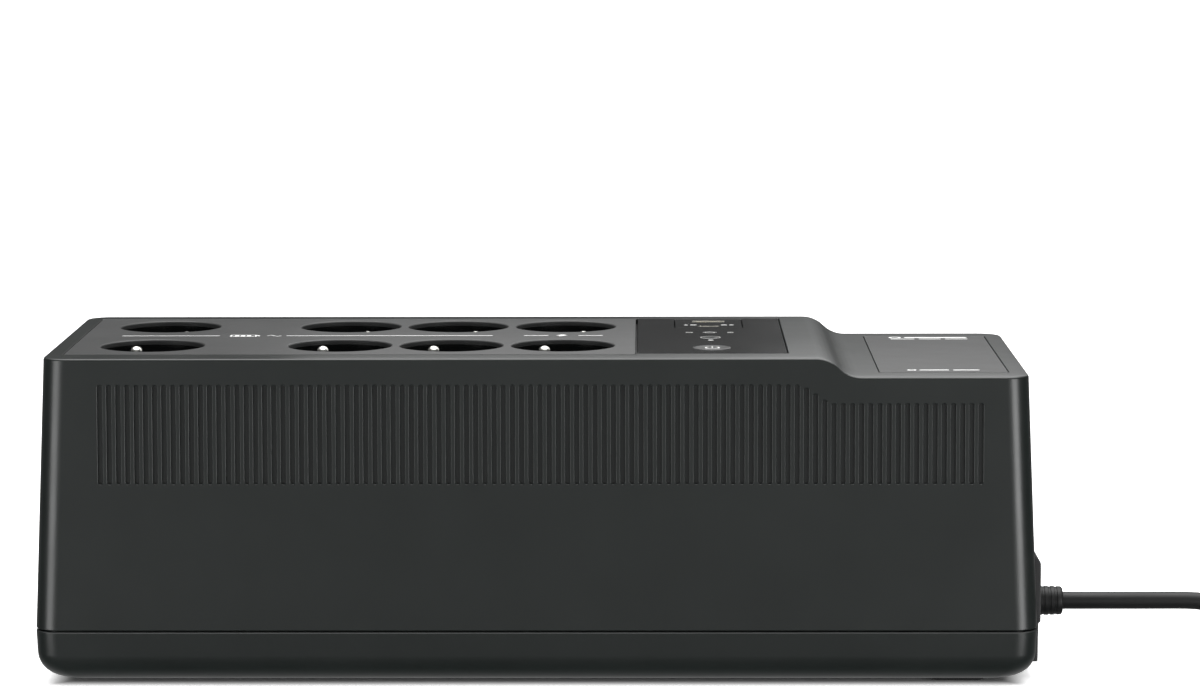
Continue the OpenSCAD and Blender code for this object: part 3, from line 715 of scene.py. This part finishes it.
def cover_shell():
    """Closed shell: walls with a rounded upper edge, the deck, and the same again inside."""
    columns = cover_columns()
    n = len(columns)
    tops = [deck_height(cover_spot(c, BODY_H, 0)[0]) for c in columns]
    fillet = 0.8
    crown = 0.25
    crown_run = 6
    low = SEAM_Z + SEAM_GAP
    rows = [[(z, inset)] * n for z, inset in ((low, 0.35), (low + 0.35, 0), (VENT_LOW - 1.6, 0))]
    rows.append([(top - 8.2, 0) for top in tops])
    for out, rise in arc(0, 0, fillet, 0, 75, 5):
        rows.append([(top - crown - fillet + rise, fillet - out) for top in tops])
    for u in (0, 0.3, 0.65, 1):
        rows.append([(top - crown * (1 - u) ** 2, fillet + crown_run * u) for top in tops])
    deck = len(rows) - 1
    rows.append([(top - 3.5, WALL) for top in tops])
    rows.append([(low, WALL)] * n)
    points = [(*cover_spot(c, z, inset), z) for row in rows for c, (z, inset) in zip(columns, row)]
    faces = []
    for a, b in (*((a, a + 1) for a in range(deck)), (deck + 2, 0), (deck + 1, deck + 2)):
        for k in range(n):
            m = (k + 1) % n
            faces.append([a * n + k, a * n + m, b * n + m, b * n + k])
    xs = [c[2] for c in columns if c[:2] == (0, -1)]
    first = xs.index(STEP_X)
    last = xs.index(STEP_END)
    back = 2 * len(xs) + 21
    parts = [[*range(back - first, n), *range(first + 1)], [*range(last, back - last + 1)]]
    parts += [[k, k + 1, back - k - 1, back - k] for k in range(first, last)]
    for row, step in ((deck, 1), (deck + 1, -1)):
        faces += [[row * n + i for i in part][::step] for part in parts]
    return Shape().add(points, faces)


def vent_cutters():
    """Slots with round ends and softened mouths: blind in front and open at the back."""
    lip = 0.42
    rim = [(lip - y, lip - x) for turn in (68, 45, 22, 0) for x, y in arc(0, 0, lip, turn)[:1]]
    deep, wide = rim[0]
    rim.insert(0, (deep - 0.4, wide + 0.4 * math.tan(math.radians(68))))
    for side, floor in ((-1, 1.2), (1, 5)):
        shape = Shape()
        levels = [(side * deep, wide) for deep, wide in (*rim, (floor, 0))]
        for i in range(VENT_COUNT):
            x = VENT_MID + (i - (VENT_COUNT - 1) / 2) * VENT_PITCH
            s = min(max((x - 96.5) / 15, 0), 1)
            top = BODY_H - 10 - STEP_DROP * (3 - 2 * s) * s * s
            middle = (VENT_LOW + top) / 2
            place = at(0, side * half_d(middle), middle) @ turned(side * 2.2, "X") @ turned(90, "X")
            shape.slab(slot_outline(x, 0, VENT_W, top - VENT_LOW), levels, place)
        yield shape


def pocket(outline, surface, floor, edge=0.2):
    """Cutter that drops into a surface with a softened rim."""
    return Shape().slab(outline, ((floor, 0), (surface - edge, 0), (surface + 0.5, edge + 0.5)))


END_OPENING = box_outline(END_X - 3.4, END_X + 30, END_Y[0] - 0.5, END_Y[1] + 0.5, 0.02, 1)


def add_top_cover():
    cover = cover_shell().build("top_cover_shell")
    for shape in vent_cutters():
        carve(cover, shape)
    for win in (OUTLET_WIN, CONTROL_WIN):
        carve(cover, pocket(window_outline(win), BODY_H, UNDER_PLATE))
        ledge = ((UNDER_PLATE - 8, 0), (UNDER_PLATE + 1, 0))
        carve(cover, Shape().slab(window_outline(win, 1, LEDGE), ledge))
    carve(cover, pocket(window_outline(PLATE_WIN), LOW_H, LOW_H - PLATE_T))
    carve(cover, Shape().slab(END_OPENING, ((0, 0), (48, 0))))
    posts = Shape()
    for post in POSTS:
        posts.lathe(((1.5, 24), (4.5, 24), (4.5, LOW_H - 2.8), (1.5, LOW_H - 2.8)), at(*post), 24)
    both = posts.build("posts")
    keep = bmesh.new()
    keep.from_mesh(cover.data)
    keep.from_mesh(both.data)
    keep.to_mesh(cover.data)
    keep.free()
    bpy.data.objects.remove(both)
    dress(cover, "housing_plastic", "top_cover", angle=28)


add_top_cover()


# ---- base ----


def pan_rows():
    """(height, inset, corner radius) up the outside of the pan, over its lip and down inside."""
    rows = []
    for i in range(10):
        turn = math.radians(10 * i)
        z = PAN_Z + PAN_ROUND * (1 - math.cos(turn))
        rows.append((z, PAN_ROUND * (1 - math.sin(turn)) + (SEAM_Z - z) * SLOPE, CORNER_R))
    top = SEAM_Z - SEAM_GAP
    rows += [(top - 0.35, 0.01, CORNER_R), (top, 0.36, 8.7), (top, 2.72, 6.3)]
    rows += [(22.8, 2.78, 6.3), (22.8, 3.9, 5.2), (16, 3.9, 5.2), (12, 4, 5)]
    return rows + [(8, 6, 4), (6.3, 9, 3), (6, 12, 2)]


def add_base_pan():
    loops = []
    for z, inset, corner in pan_rows():
        outline = box_about(0, 0, BODY_W / 2 - inset, BODY_D / 2 - inset, corner, 10)
        loops.append([(x, y, z) for x, y in outline(0)])
    pan = Shape().loft(loops).build("base_pan_shell")
    bosses = Shape()
    for post in POSTS:
        bosses.rod(((4.5, 3), (4.5, 23)), at(*post), 24)
    carve(pan, bosses, "UNION")
    carve(pan, Shape().slab(box_outline(-152.5, 3.5, -49, 49, 1, 1), ((4, 0), (30, 0))), "UNION")
    recess = box_outline(DOOR[0] - 0.3, DOOR[1] + 15.3, DOOR[2] - 0.3, DOOR[3] + 0.3, 1.2)
    carve(pan, Shape().slab(recess, ((0.5, 1.2), (PAN_Z + 0.2, 0), (4, 0))))
    tracks = Shape()
    for x in HOOKS:
        tracks.slab(box_outline(x - 0.3, x + 29.3, -51.9, 51.9, 0.3, 1), ((2.3, 0), (4.02, 0)))
    carve(pan, tracks)
    carve(pan, Shape().slab(box_outline(-150.5, 1.5, -47, 47, 0.5, 1), ((2, 0), (40, 0))))
    holes = Shape()
    for post in POSTS:
        holes.rod(((4.2, -1), (3.4, 1.8), (3.4, 10.7), (1.8, 10.7), (1.8, 30)), at(*post), 28)
    for x in HOOKS:
        for side in (-1, 1):
            notch = box_about(x + 22, side * (DOOR[3] + 0.9), 7.3, 1, 0.3, 1)
            holes.slab(notch, ((0, 0), (3.6, 0)))
    carve(pan, holes)
    carve(pan, Shape().slab(END_OPENING, ((6, 0), (60, 0))))
    dress(pan, "pan_plastic", "base_pan", angle=30)


def add_battery_door():
    """Flat door with finger grooves and an arrow at one end and three hooks along each side."""
    levels = ((PAN_Z, -0.35), (PAN_Z + 0.35, 0), (PAN_Z + 2.2, 0))
    door = Shape().slab(box_outline(*DOOR, 1), levels).build("battery_door_panel")
    hooks = Shape()
    for x in HOOKS:
        hooks.block(x, x + 14, DOOR[2] - 1.6, DOOR[3] + 1.6, PAN_Z + 1.1, PAN_Z + 2.2, 0.15, 0.5)
    carve(door, hooks, "UNION")
    cuts = Shape()
    for i in range(4):
        outline = slot_outline(DOOR[0] + 8.6 + 3 * i, 0, 1.3, 30)
        cuts.slab(outline, ((0.5, 0.7), (PAN_Z + 0.1, 0.1), (PAN_Z + 0.7, -0.15)))
    arrow = ((-127, -4), (-122, 0), (-127, 4), (-125.6, 4), (-120.2, 0), (-125.6, -4))
    cuts.loft([[(x, y, z) for x, y in arrow] for z in (0, PAN_Z + 0.5)])
    carve(door, cuts)
    dress(door, "pan_plastic", "battery_door", body="battery_door_body", angle=30)


def add_feet():
    feet = Shape()
    for x, y in FEET:
        feet.slab(box_about(x, y, 9.5, 5, 2.4), ((0, -1.1), (0.15, -0.5), (0.5, 0), (PAN_Z, 0)))
        for k in range(-2, 3):
            feet.slab(box_about(x, y + 1.5 * k, 7.4, 0.3, 0.2, 1), ((0.02, 0), (0.3, 0.1)))
    feet.show("rubber_feet_pads", "foot_rubber", "rubber_feet")


def screw_loops():
    """Socket-head screw, head down, with a knurled rim, a hexagon recess and a threaded shank."""
    rim = []
    hexagon = []
    for k in range(48):
        turn = 7.5 * k
        across = math.cos(math.radians(30)) / math.cos(math.radians((turn + 30) % 60 - 30))
        rim += arc(0, 0, 2.88 if k % 2 else 3, turn)[:1]
        hexagon += arc(0, 0, 1.5 * across, turn)[:1]
    thread = [(0.86, 0), (1, 0.49), (0.86, 0.98)]
    rings = [(hexagon, 1.375, 0.02), (hexagon, 1.375, 1), (hexagon, 0.12, 1), (hexagon, 0, 1.08)]
    rings += [(rim, 0, 0.88), (rim, 0.3, 1), (rim, 2.5, 1)]
    shank = arc(0, 0, 1.45, steps=48)[:-1]
    rings += [(shank, 2.5 + k + rise, factor) for k in range(19) for factor, rise in thread]
    rings.append((shank, 22.5, 0.4 / 1.45))
    return [[(x * factor, y * factor, z) for x, y in outline] for outline, z, factor in rings]


def add_housing_screws():
    screws = Shape()
    for x, y in POSTS:
        turn = math.copysign(20, x) + math.copysign(11, y)
        screws.loft(screw_loops(), at(x, y, PAN_Z + 6.7, turn))
    screws.show("housing_screw_set", "screw_steel", "housing_screws")


add_base_pan()
add_battery_door()
add_feet()
add_housing_screws()


# ---- deck ----


class Print(Shape):
    """Printed marks: films that stand a little proud of a surface."""

    def __init__(self, top):
        super().__init__()
        self.top = top

    def tile(self, outline):
        points = [Vector(p) for p in outline]
        middle = sum(points, Vector((0, 0))) / len(points)
        loops = []
        for rise, size in ((-0.1, 1), (0.036, 1), (0.06, 0.995)):
            loops.append([(*(middle + (p - middle) * size), self.top + rise) for p in points])
        self.loft(loops)

    def bars(self, y, width, *spans):
        for x0, x1 in spans:
            self.tile(slot_outline((x0 + x1) / 2, y, x1 - x0, width)(0))

    def box(self, x, y, half_x, half_y, corner=0.05):
        self.tile(box_about(x, y, half_x, half_y, corner, 1)(0))

    def hoop(self, x, y, radius, width, first=0, span=360):
        """Ring, or part of one."""
        rows = []
        for side, rise in ((-1, -0.1), (1, -0.1), (1, 0.05), (-1, 0.05)):
            curve = arc(x, y, radius + side * width / 2, first, span, span // 8)
            rows.append([(*point, self.top + rise) for point in curve])
        closed = span == 360
        loops = [list(loop) for loop in zip(*rows)]
        self.loft(loops[:-1] if closed else loops, around=closed)


def plate_levels(low, high, edge=0.12):
    return ((low, 0), (high - 3.2 * edge, 0), (high - edge, -0.3 * edge), (high, -edge))


def add_outlet_deck():
    plate = Shape().slab(window_outline(OUTLET_WIN, 1, 0.4), plate_levels(UNDER_PLATE, BODY_H))
    deck = plate.build("outlet_deck_plate")
    posts = Shape()
    top = BODY_H - 1.6
    for x in (-165, -110.6, -53.8, -11.6, 31.5):
        profile = ((1.5, WELL_FOOT), (3.4, WELL_FOOT), (3.4, top), (0, top), (0, 118), (1.5, 118))
        posts.lathe(profile, at(x, 2), 24)
    mouth = ((-4, 0), (-0.75, 0), (-0.42, 0.12), (-0.14, 0.38), (0, 0.75), (0.4, 1.2))
    profile = [(WELL_R + grow, z) for z, grow in mouth]
    holes = Shape()
    for x, y, _ in SITES:
        holes.rod(profile, at(x, y, BODY_H), 96)
    carve(deck, holes)
    carve(deck, posts, "UNION")
    dress(deck, "deck_plastic", "outlet_deck", angle=30)


def well_mesh():
    """Recess for one plug: a polished cup with a flat floor, three holes and a lower rim."""
    top = UNDER_PLATE - WELL_FLOOR
    foot = WELL_FOOT - WELL_FLOOR
    cup = [(WELL_R - 1.2, 0), (WELL_R - 0.35, 0.35), (WELL_R, 1.2), (WELL_R, top)]
    cup += [(WELL_R + 1.3, top), (WELL_R + 1.3, foot), (WELL_R, foot), (WELL_R, -2)]
    well = Shape().rod(cup, at(0, 0, WELL_FLOOR), 96).build("well")
    holes = Shape()
    for off in (-HOLE_OFF, HOLE_OFF):
        holes.rod(((2.9, -3), (2.9, -0.5), (3.4, 0), (3.9, 0.5)), at(off, off, WELL_FLOOR), 32)
    earth = at(-EARTH_OFF, EARTH_OFF, WELL_FLOOR)
    holes.rod(((2.05, -3), (2.05, 1)), earth, 24)
    carve(well, holes)
    ridge = ((5.4, -0.1), (5.4, 0.25), (5.2, 0.4), (4.9, 0.4), (4.7, 0.25), (4.7, -0.1))
    carve(well, Shape().lathe(ridge, earth, 32), "UNION")
    return well


def add_wells():
    first = well_mesh()
    for number, (x, y, side) in enumerate(SITES, 1):
        mesh = first.data.copy()
        mesh.transform(at(x * MM, y * MM, 0, 0 if side == 1 else 180))
        well = add_object(f"outlet_well_{number}", mesh)
        dress(well, "well_plastic", f"socket_well_{number}", angle=40)
    bpy.data.objects.remove(first)


def add_earth_pins():
    pins = Shape()
    tip = WELL_FLOOR + 12
    profile = [(3, 95), (3, 96), (2, 96.2), (2, WELL_FLOOR), (PIN_R, WELL_FLOOR)]
    profile += [*arc(0, tip, PIN_R, 0, 80, 8), (0, tip + PIN_R)]
    for x, y, side in SITES:
        pins.rod(profile, at(x - side * EARTH_OFF, y + side * EARTH_OFF), 32)
    pins.show("earth_pin_set", "pin_nickel", "earth_pins")


def deck_prints():
    """Group lines between the outlets' rows, each with a plain battery or surge pictogram."""
    y = 1.5
    white = Print(BODY_H)
    white.bars(y, 0.9, (-161.5, -123.6), (-98, -18), (-6, 3.5), (15, 24.6))
    for line in (y - 2.3, y + 2.3):
        white.bars(line, 0.7, (-119.6, -109.4))
    for x, half_x, half_y in ((-119.3, 0.35, 2.4), (-109.7, 0.35, 2.4), (-108.7, 0.5, 1)):
        white.box(x, y, half_x, half_y, 0.1)
    for x in (-117, -114.7, -112.4):
        white.box(x, y, 0.75, 1.4, 0.1)
    wave = [(-105.4 + 0.55 * i, y + 1.5 * math.sin(i * math.pi / 5)) for i in range(11)]
    lower = [(px, py - 0.35) for px, py in wave]
    white.tile(lower + [(px, py + 0.35) for px, py in reversed(wave)])
    bolt = ((8.2, 2.6), (6.6, -0.2), (8.3, -0.2), (7.4, -2.8), (10.8, 0.7), (9.1, 0.7), (10.4, 2.6))
    white.tile([(px, y + py) for px, py in bolt])
    white.show("deck_prints", "print_white")


add_outlet_deck()
add_wells()
add_earth_pins()
deck_prints()


# ---- control panel ----


def add_control_panel():
    plate = Shape().slab(window_outline(CONTROL_WIN, 1, FIT), plate_levels(UNDER_PLATE, BODY_H, 0.25))
    panel = plate.build("control_panel_plate")
    foot = (UNDER_PLATE - 1, 0)
    holes = Shape()
    for x, y, radius in ((*BUTTON, 7.3), (*LENS, 3.2)):
        holes.slab(round_outline(x, y, radius, 64), (foot, (BODY_H - 0.3, 0), (BODY_H + 0.2, 0.5)))
    holes.slab(window_outline(USB_WIN, 0.6), (foot, (BODY_H - 0.15, 0), (BODY_H + 0.2, 0.35)))
    carve(panel, holes)
    dress(panel, "panel_gloss", "control_panel", angle=30)


def add_power_button():
    """Round cap with a dished top, a flange below the panel and a stem to its switch."""
    low = UNDER_PLATE - 1.7
    profile = [(2, 114.6), (2, low), (8.5, low), (8.5, low + 1.4), (7, low + 1.4)]
    profile += [(7, 122.75), (6.93, 122.98), (6.75, 123.13), (6.5, 123.2), (6.1, 123.18)]
    profile += [(5, 123.08), (3, 122.99), (0, 122.95)]
    cap = Shape().rod(profile, at(*BUTTON), 64)
    body = "power_button_body"
    cap.show("power_button_cap", "button_plastic", "power_button", body=body, angle=35)
    mark = Print(122.99)
    mark.hoop(*BUTTON, 2.6, 0.55, 125, 290)
    mark.top = 123
    mark.box(BUTTON[0], BUTTON[1] + 1.9, 0.27, 1.5, 0.1)
    mark.show("power_button_mark", "print_white", body=body)


def add_status_lens():
    profile = [(2, 109.7), (2, 120), (3.15, 120), (3.15, 122.9), (3.0, 123.05), (2.4, 123.1)]
    lens = Shape().rod([*profile, (1.2, 123.14), (0, 123.15)], at(*LENS))
    lens.show("status_lens_pipe", "lens_clear", "status_lens", angle=40)
    ring = Print(BODY_H)
    ring.hoop(*LENS, 3.75, 0.32)
    ring.show("status_lens_ring", "print_grey")


def panel_prints():
    """Row of marks by the ports, and plain pictograms for the indicator's states."""
    marks = Print(BODY_H)
    marks.bars(36.4, 1.1, (56.2, 57.8), (58.6, 61.2), (70.8, 73.2), (74, 75.8))
    marks.hoop(66, -14, 0.75, 0.5)
    marks.show("panel_prints", "print_white")
    marks = Print(BODY_H)
    marks.bars(10.2, 0.5, (56.7, 59.3))
    marks.bars(12, 0.5, (56.7, 59.3))
    marks.bars(9.8, 0.5, (64.1, 67.9))
    for x, y, half_y in ((56.9, 11.1, 1), (59.1, 11.1, 1), (64.3, 10.65, 0.95), (67.7, 10.65, 0.95)):
        marks.box(x, y, 0.25, half_y)
    for side in (-1, 1):
        eave = 66 - side * 2.7
        marks.tile([(66, 12.9), (66, 13.6), (eave, 11.6), (eave, 10.9)][::side])
    marks.hoop(74, 11.1, 1, 0.45)
    marks.box(74, 11.7, 0.25, 0.9)
    marks.show("panel_pictograms", "print_grey")


USB_A_OUTLINE = box_about(*USB_A, 6.55, 2.85, 0.5)
USB_A_FOOT = BODY_H - 13.5
USB_C_FOOT = BODY_H - 11


def add_usb_module():
    outline = window_outline(USB_WIN, 0.6, FIT)
    body = Shape().slab(outline, plate_levels(UNDER_PLATE - 14, BODY_H, 0.18)).build("usb_module_body")
    flange = ((UNDER_PLATE - 1.5, 0), (UNDER_PLATE, 0))
    carve(body, Shape().slab(window_outline(USB_WIN, 0.4, -1.2), flange), "UNION")
    ports = Shape()
    for outline, foot in ((USB_A_OUTLINE, USB_A_FOOT), (slot_outline(*USB_C, 8.94, 3.16), USB_C_FOOT)):
        ports.slab(outline, ((foot, 0), (BODY_H - 0.1, 0), (BODY_H + 0.3, 0.4)))
    carve(body, ports)
    dress(body, "panel_gloss", "usb_module", angle=30)


def add_can(name, outline, foot, node):
    """Open box of sheet metal with a rolled rim, from outside to inside in one skin."""
    levels = [(foot, -0.2), (foot + 0.2, 0), (BODY_H - 0.12, 0), (BODY_H, -0.06), (BODY_H, -0.24)]
    levels += [(BODY_H - 0.12, -0.3), (foot + 0.4, -0.3), (foot + 0.3, -0.45)]
    Shape().slab(outline, levels).show(name, "pin_nickel", node, angle=40)


def add_usb_ports():
    add_can("usb_a_can", USB_A_OUTLINE, USB_A_FOOT, "usb_a_shell")
    add_can("usb_c_can", slot_outline(*USB_C, 8.94, 3.16, 8), USB_C_FOOT, "usb_c_shell")
    tongues = Shape()
    x, y = USB_A
    tongues.block(x - 5.5, x + 5.5, y + 0.2, y + 2, BODY_H - 13.1, BODY_H - 1.1, 0.3, 0.2)
    x, y = USB_C
    tongues.block(x - 3.2, x + 3.2, y - 0.35, y + 0.35, BODY_H - 10.6, BODY_H - 0.8, 0.15, 0.15)
    tongues.show("usb_port_tongues", "tongue_plastic", "usb_tongues")
    strips = Shape()
    x, y = USB_A
    for k in range(4):
        cx = x - 3.5 + 7 / 3 * k
        strips.block(cx - 0.6, cx + 0.6, y - 0.02, y + 0.3, BODY_H - 12, BODY_H - 1.8, 0.08, 0.1)
    strips.show("usb_a_contacts", "contact_brass")


def add_cover_plate():
    plate = Shape().slab(window_outline(PLATE_WIN, 1, FIT), plate_levels(LOW_H - PLATE_T, LOW_H))
    plate.show("cover_plate_panel", "deck_plastic", "cover_plate", angle=30)
    marks = Print(LOW_H)
    marks.hoop(140.4, 52.4, 2, 0.9)
    marks.bars(52.4, 2.2, (144, 169))
    marks.bars(47.6, 1.2, (138.4, 148), (149.6, 158.4), (160, 169))
    marks.hoop(140.6, -50.4, 1.4, 0.7)
    marks.bars(-50.4, 1.6, (143.4, 154.6), (156, 166))
    marks.show("cover_plate_marks", "print_white")


add_control_panel()
add_power_button()
add_status_lens()
panel_prints()
add_usb_module()
add_usb_ports()
add_cover_plate()


# ---- right end ----


def add_end_plate():
    """Plate that carries the lead, the reset button and the data socket, with framed openings."""
    profile = [(END_X, 6.3), (PLATE_X - 1, 6.3), (PLATE_X - 0.8, SEAM_Z), (PLATE_X, SEAM_Z + 0.5)]
    profile += [(PLATE_X, 43.5), (PLATE_X - 0.5, 44.7), (half_w(46) + 0.3, 47), (END_X, 47)]
    plate = Shape().loft([[(x, y, z) for x, z in profile] for y in END_Y]).build("end_plate_panel")
    soften = plate.modifiers.new("edge", "BEVEL")
    soften.width = 0.45 * MM
    soften.segments = 3
    soften.angle_limit = math.radians(15)
    step = PLATE_X + 0.3
    face = PLATE_X + 0.55
    raised = Shape()
    raised.rod(((8.2, 187), (8.2, step), (7.8, face)), along_x(*BREAKER))
    raised.sideways(box_about(*DATA, 9.4, 8.2, 1.5), ((187, 0), (step, 0), (face, -0.25)))
    raised.rod(((7.4, 187), (7.4, PLATE_X + 0.2), (7.0, PLATE_X + 0.5)), along_x(*GLAND))
    flange = box_outline(END_Y[0] - 2, END_Y[1] + 2, SEAM_Z + 2, 50, 1)
    raised.sideways(flange, ((END_X - 2.4, 0), (END_X + 0.001, 0)))
    carve(plate, raised, "UNION")
    holes = Shape()
    holes.rod(((5.85, 170), (5.85, 189.2), (6.6, 190.2)), along_x(*GLAND))
    holes.rod(((5.3, 170), (5.3, 189.4), (6.2, 190.3)), along_x(*BREAKER))
    carve(plate, holes)
    socket = box_about(*DATA, 7.2, 6.2, 0.4)
    carve(plate, Shape().sideways(socket, ((170, 0), (189.5, 0), (190.4, 0.9))))
    dress(plate, "end_plastic", "end_plate", angle=30)


def add_breaker():
    """Resettable circuit breaker: case, threaded neck, blades and its push button."""
    y, z = BREAKER
    place = along_x(y, z)
    levels = ((166, -0.4), (166.4, 0), (180.4, 0), (180.8, -0.4))
    body = Shape().sideways(box_about(y, z, 7, 8, 0.8), levels).build("breaker_case")
    thread = [(5.2 if k % 2 else 4.95, 181 + 0.45 * k) for k in range(17)]
    neck = [(5.2, 178), *thread, (5.2, 189.2), (5.05, 189.6), (4.6, 189.8)]
    carve(body, Shape().rod(neck, place, 40), "UNION")
    carve(body, Shape().rod(((3.4, 171), (3.4, 189.4), (3.9, 190)), place, 40))
    dress(body, "breaker_plastic", "breaker_body", angle=35)
    blades = Shape()
    for side in (-4, 4):
        blades.block(158, 167.2, y + side - 0.4, y + side + 0.4, z - 3, z + 3, 0.15, 0.12)
    blades.show("breaker_blades", "contact_brass")
    tip = PLATE_X + 0.8
    profile = [(3.1, tip - 15.4), (3.1, tip), (3.0, tip + 0.25), (2.5, tip + 0.5)]
    profile += [(1.6, tip + 0.6), (1.5, tip + 0.45), (0, tip + 0.4)]
    button = Shape().rod(profile, place, 40)
    button.show("breaker_reset_cap", "reset_plastic", "breaker_button", body="breaker_button_body")


def add_data_socket():
    y, z = DATA
    face = PLATE_X - 0.4
    levels = ((172, -0.3), (172.3, 0), (face - 0.2, 0), (face, -0.2))
    body = Shape().sideways(box_about(y, z, 7, 6, 0.5), levels).build("data_socket_case")
    room = box_about(y, z + 0.1, 5.9, 3.5, 0.25)
    carve(body, Shape().sideways(room, ((175, 0), (face - 0.3, 0), (face + 0.4, 0.7))))
    carve(body, Shape().sideways(box_about(y, z - 4, 3, 1, 0.2), ((175.2, 0), (face + 0.5, 0))))
    dress(body, "breaker_plastic", "data_socket", angle=30)
    wires = Shape()
    corners = ((-0.2, -0.15), (0.2, -0.15), (0.2, 0.15), (-0.2, 0.15))
    for k in range(8):
        loops = []
        for x, height in ((175.2, 3.4), (178, 3.3), (184.5, 0.4), (186, 0.5)):
            loops.append([(x, y - 3.57 + 1.02 * k + b, z + height + c) for b, c in corners])
        wires.loft(loops)
    wires.show("data_socket_wires", "contact_brass")


# ---- lead's fittings ----


def add_strain_relief():
    """Collar clamped in the end plate; it tapers towards the lead and has flex rings."""
    profile = [(7.6, 176), (8, 176.4), (8, 180.4), (7.6, 180.8), (5.8, 180.8), (5.8, 192.5)]
    profile += [(5.7, 194), (5.45, 194.2), (5.45, 194.9), (5.68, 195.1), (5.64, 196.4), (5.4, 196.6)]
    profile += [(5.4, 197.3), (5.62, 197.5), (5.58, 198.8), (5.34, 199), (5.34, 199.7), (5.54, 199.9)]
    profile += [(5.5, 201), (5.3, 201.6), (4.9, 201.95), (4.3, 202.05)]
    relief = Shape().rod(profile, along_x(*GLAND), 64)
    return relief.show("strain_relief_collar", "cord_pvc", "strain_relief", angle=40)


def add_plug():
    """Round mains plug on its back, with a ribbed neck and a grooved grip."""
    profile = [(11, 0), (12.6, 0.35), (17.2, 3.3), (18, 4.3), (18.4, 5.8), (18.4, 24.6)]
    profile += [(18.15, 25.5), (17.5, 26), (16.3, 26), (16.1, 25.7), (15.7, 25.7), (15.5, 26)]
    body = Shape().rod(profile, at(*PLUG), 72).build("mains_plug")
    neck = [(9.6, 0), (9.2, 14), (8.2, 19), (7.2, 23.5)]
    for k in range(6):
        start = 24.6 + 2.9 * k
        r = 6.6 - 0.36 * k
        neck += [(r, start), (r - 0.15, start + 1.5), (r - 0.8, start + 1.8), (r - 0.85, start + 2.6)]
    neck += [(4.5, 42.2), (4.3, 42.9), (3.6, 43)]
    carve(body, Shape().rod(neck, at(*PLUG, 10.2) @ turned(90, "X")), "UNION")
    grips = Shape()
    for turn in (*range(0, 43, 7), *range(138, 181, 7)):
        place = at(*arc(*PLUG, 18.55, turn)[0])
        grips.slab(round_outline(0, 0, 0.55, 12), ((8, -0.2), (8.6, 0), (21.4, 0), (22, -0.2)), place)
    carve(body, grips)
    holes = Shape()
    earth = ((2.6, 10), (2.6, 25.3), (3.2, 25.9), (3.8, 26.5))
    holes.rod(earth, at(PLUG[0], PLUG[1] + 10), 32)
    for side in (-1, 1):
        slot = box_about(PLUG[0], PLUG[1] + side * 18.4, 3.2, 1.5, 0.3, 2)
        holes.slab(slot, ((8, 0), (40, 0)))
    carve(body, holes)
    return dress(body, "cord_pvc", "plug_body", angle=35)


def add_plug_contacts():
    """Two round pins and the two sprung earth strips in the grip's slots."""
    pins = Shape()
    profile = [(PIN_R, 25.6), *arc(0, 42.6, PIN_R, 0, 80, 8), (0, 45)]
    bows = ((8.2, 0), (9, 0.05), (13, 0.28), (17, 0.36), (21, 0.25), (24.4, 0), (25.2, -0.1))
    for side in (-1, 1):
        pins.rod(profile, at(PLUG[0] + 9.5 * side, PLUG[1]), 32)
        loops = []
        for z, bow in bows:
            strip = box_about(PLUG[0], PLUG[1] + side * (17.4 + bow), 3, 0.25, 0.15, 2)
            loops.append([(x, y, z) for x, y in strip(0)])
        pins.loft(loops)
    return pins.show("mains_plug_pins", "pin_nickel", "plug_contacts")


def add_tie():
    """Hook-and-loop band round the coil's turns, flat under them."""
    bend = 2.6
    inner = 23.7 + bend
    outer = 52.55 - bend
    low = 2.8
    high = 14 - bend
    path = []
    for r, z, first in ((outer, low, -90), (outer, high, 0), (inner, high, 90), (inner, low, 180)):
        path += [(r + bend * c, z + bend * s, c, s) for c, s in arc(0, 0, 1, first, 90, 6)]
    out = Vector((*arc(0, 0, 1, 200)[0], 0))
    side = Vector((-out.y, out.x, 0))
    middle = Vector((*COIL, 0))
    loops = []
    for r, z, c, s in path:
        loop = []
        for off, wide in ((-0.1, -1), (0.1, -1), (0.4, -0.93), (0.4, 0.93), (0.1, 1), (-0.1, 1)):
            point = middle + out * (r + c * off) + side * (6 * wide)
            point.z = max(z + s * off, 0.02 + 0.1 * (off < 0))
            loop.append(point)
        loops.append(loop)
    band = Shape().loft(loops, around=True)
    place = Matrix.Translation(middle + out * 40) @ turned(200, "Z")
    band.slab(box_about(0, 0, 9, 5.6, 1.5), ((14.35, 0), (14.9, 0), (15.05, -0.15)), place)
    return band.show("lead_tie", "tie_nylon", angle=40)


add_end_plate()
add_breaker()
add_data_socket()

# ---- the whole ----


def paint_cad_nodes():
    """Materials for the inner parts that are shown as the CAD model has them."""
    slots = {part["node"]: part["material_slot"] for part in frame["record"]["subparts"]}
    for name, node in frame["nodes"].items():
        if not node.hide_render:
            node.data.materials.clear()
            node.data.materials.append(MATERIALS[slots[name]])


dress(cord, "cord_pvc", "mains_cord", "cord_coil")
add_strain_relief()
add_plug()
add_plug_contacts()
add_tie()
paint_cad_nodes()
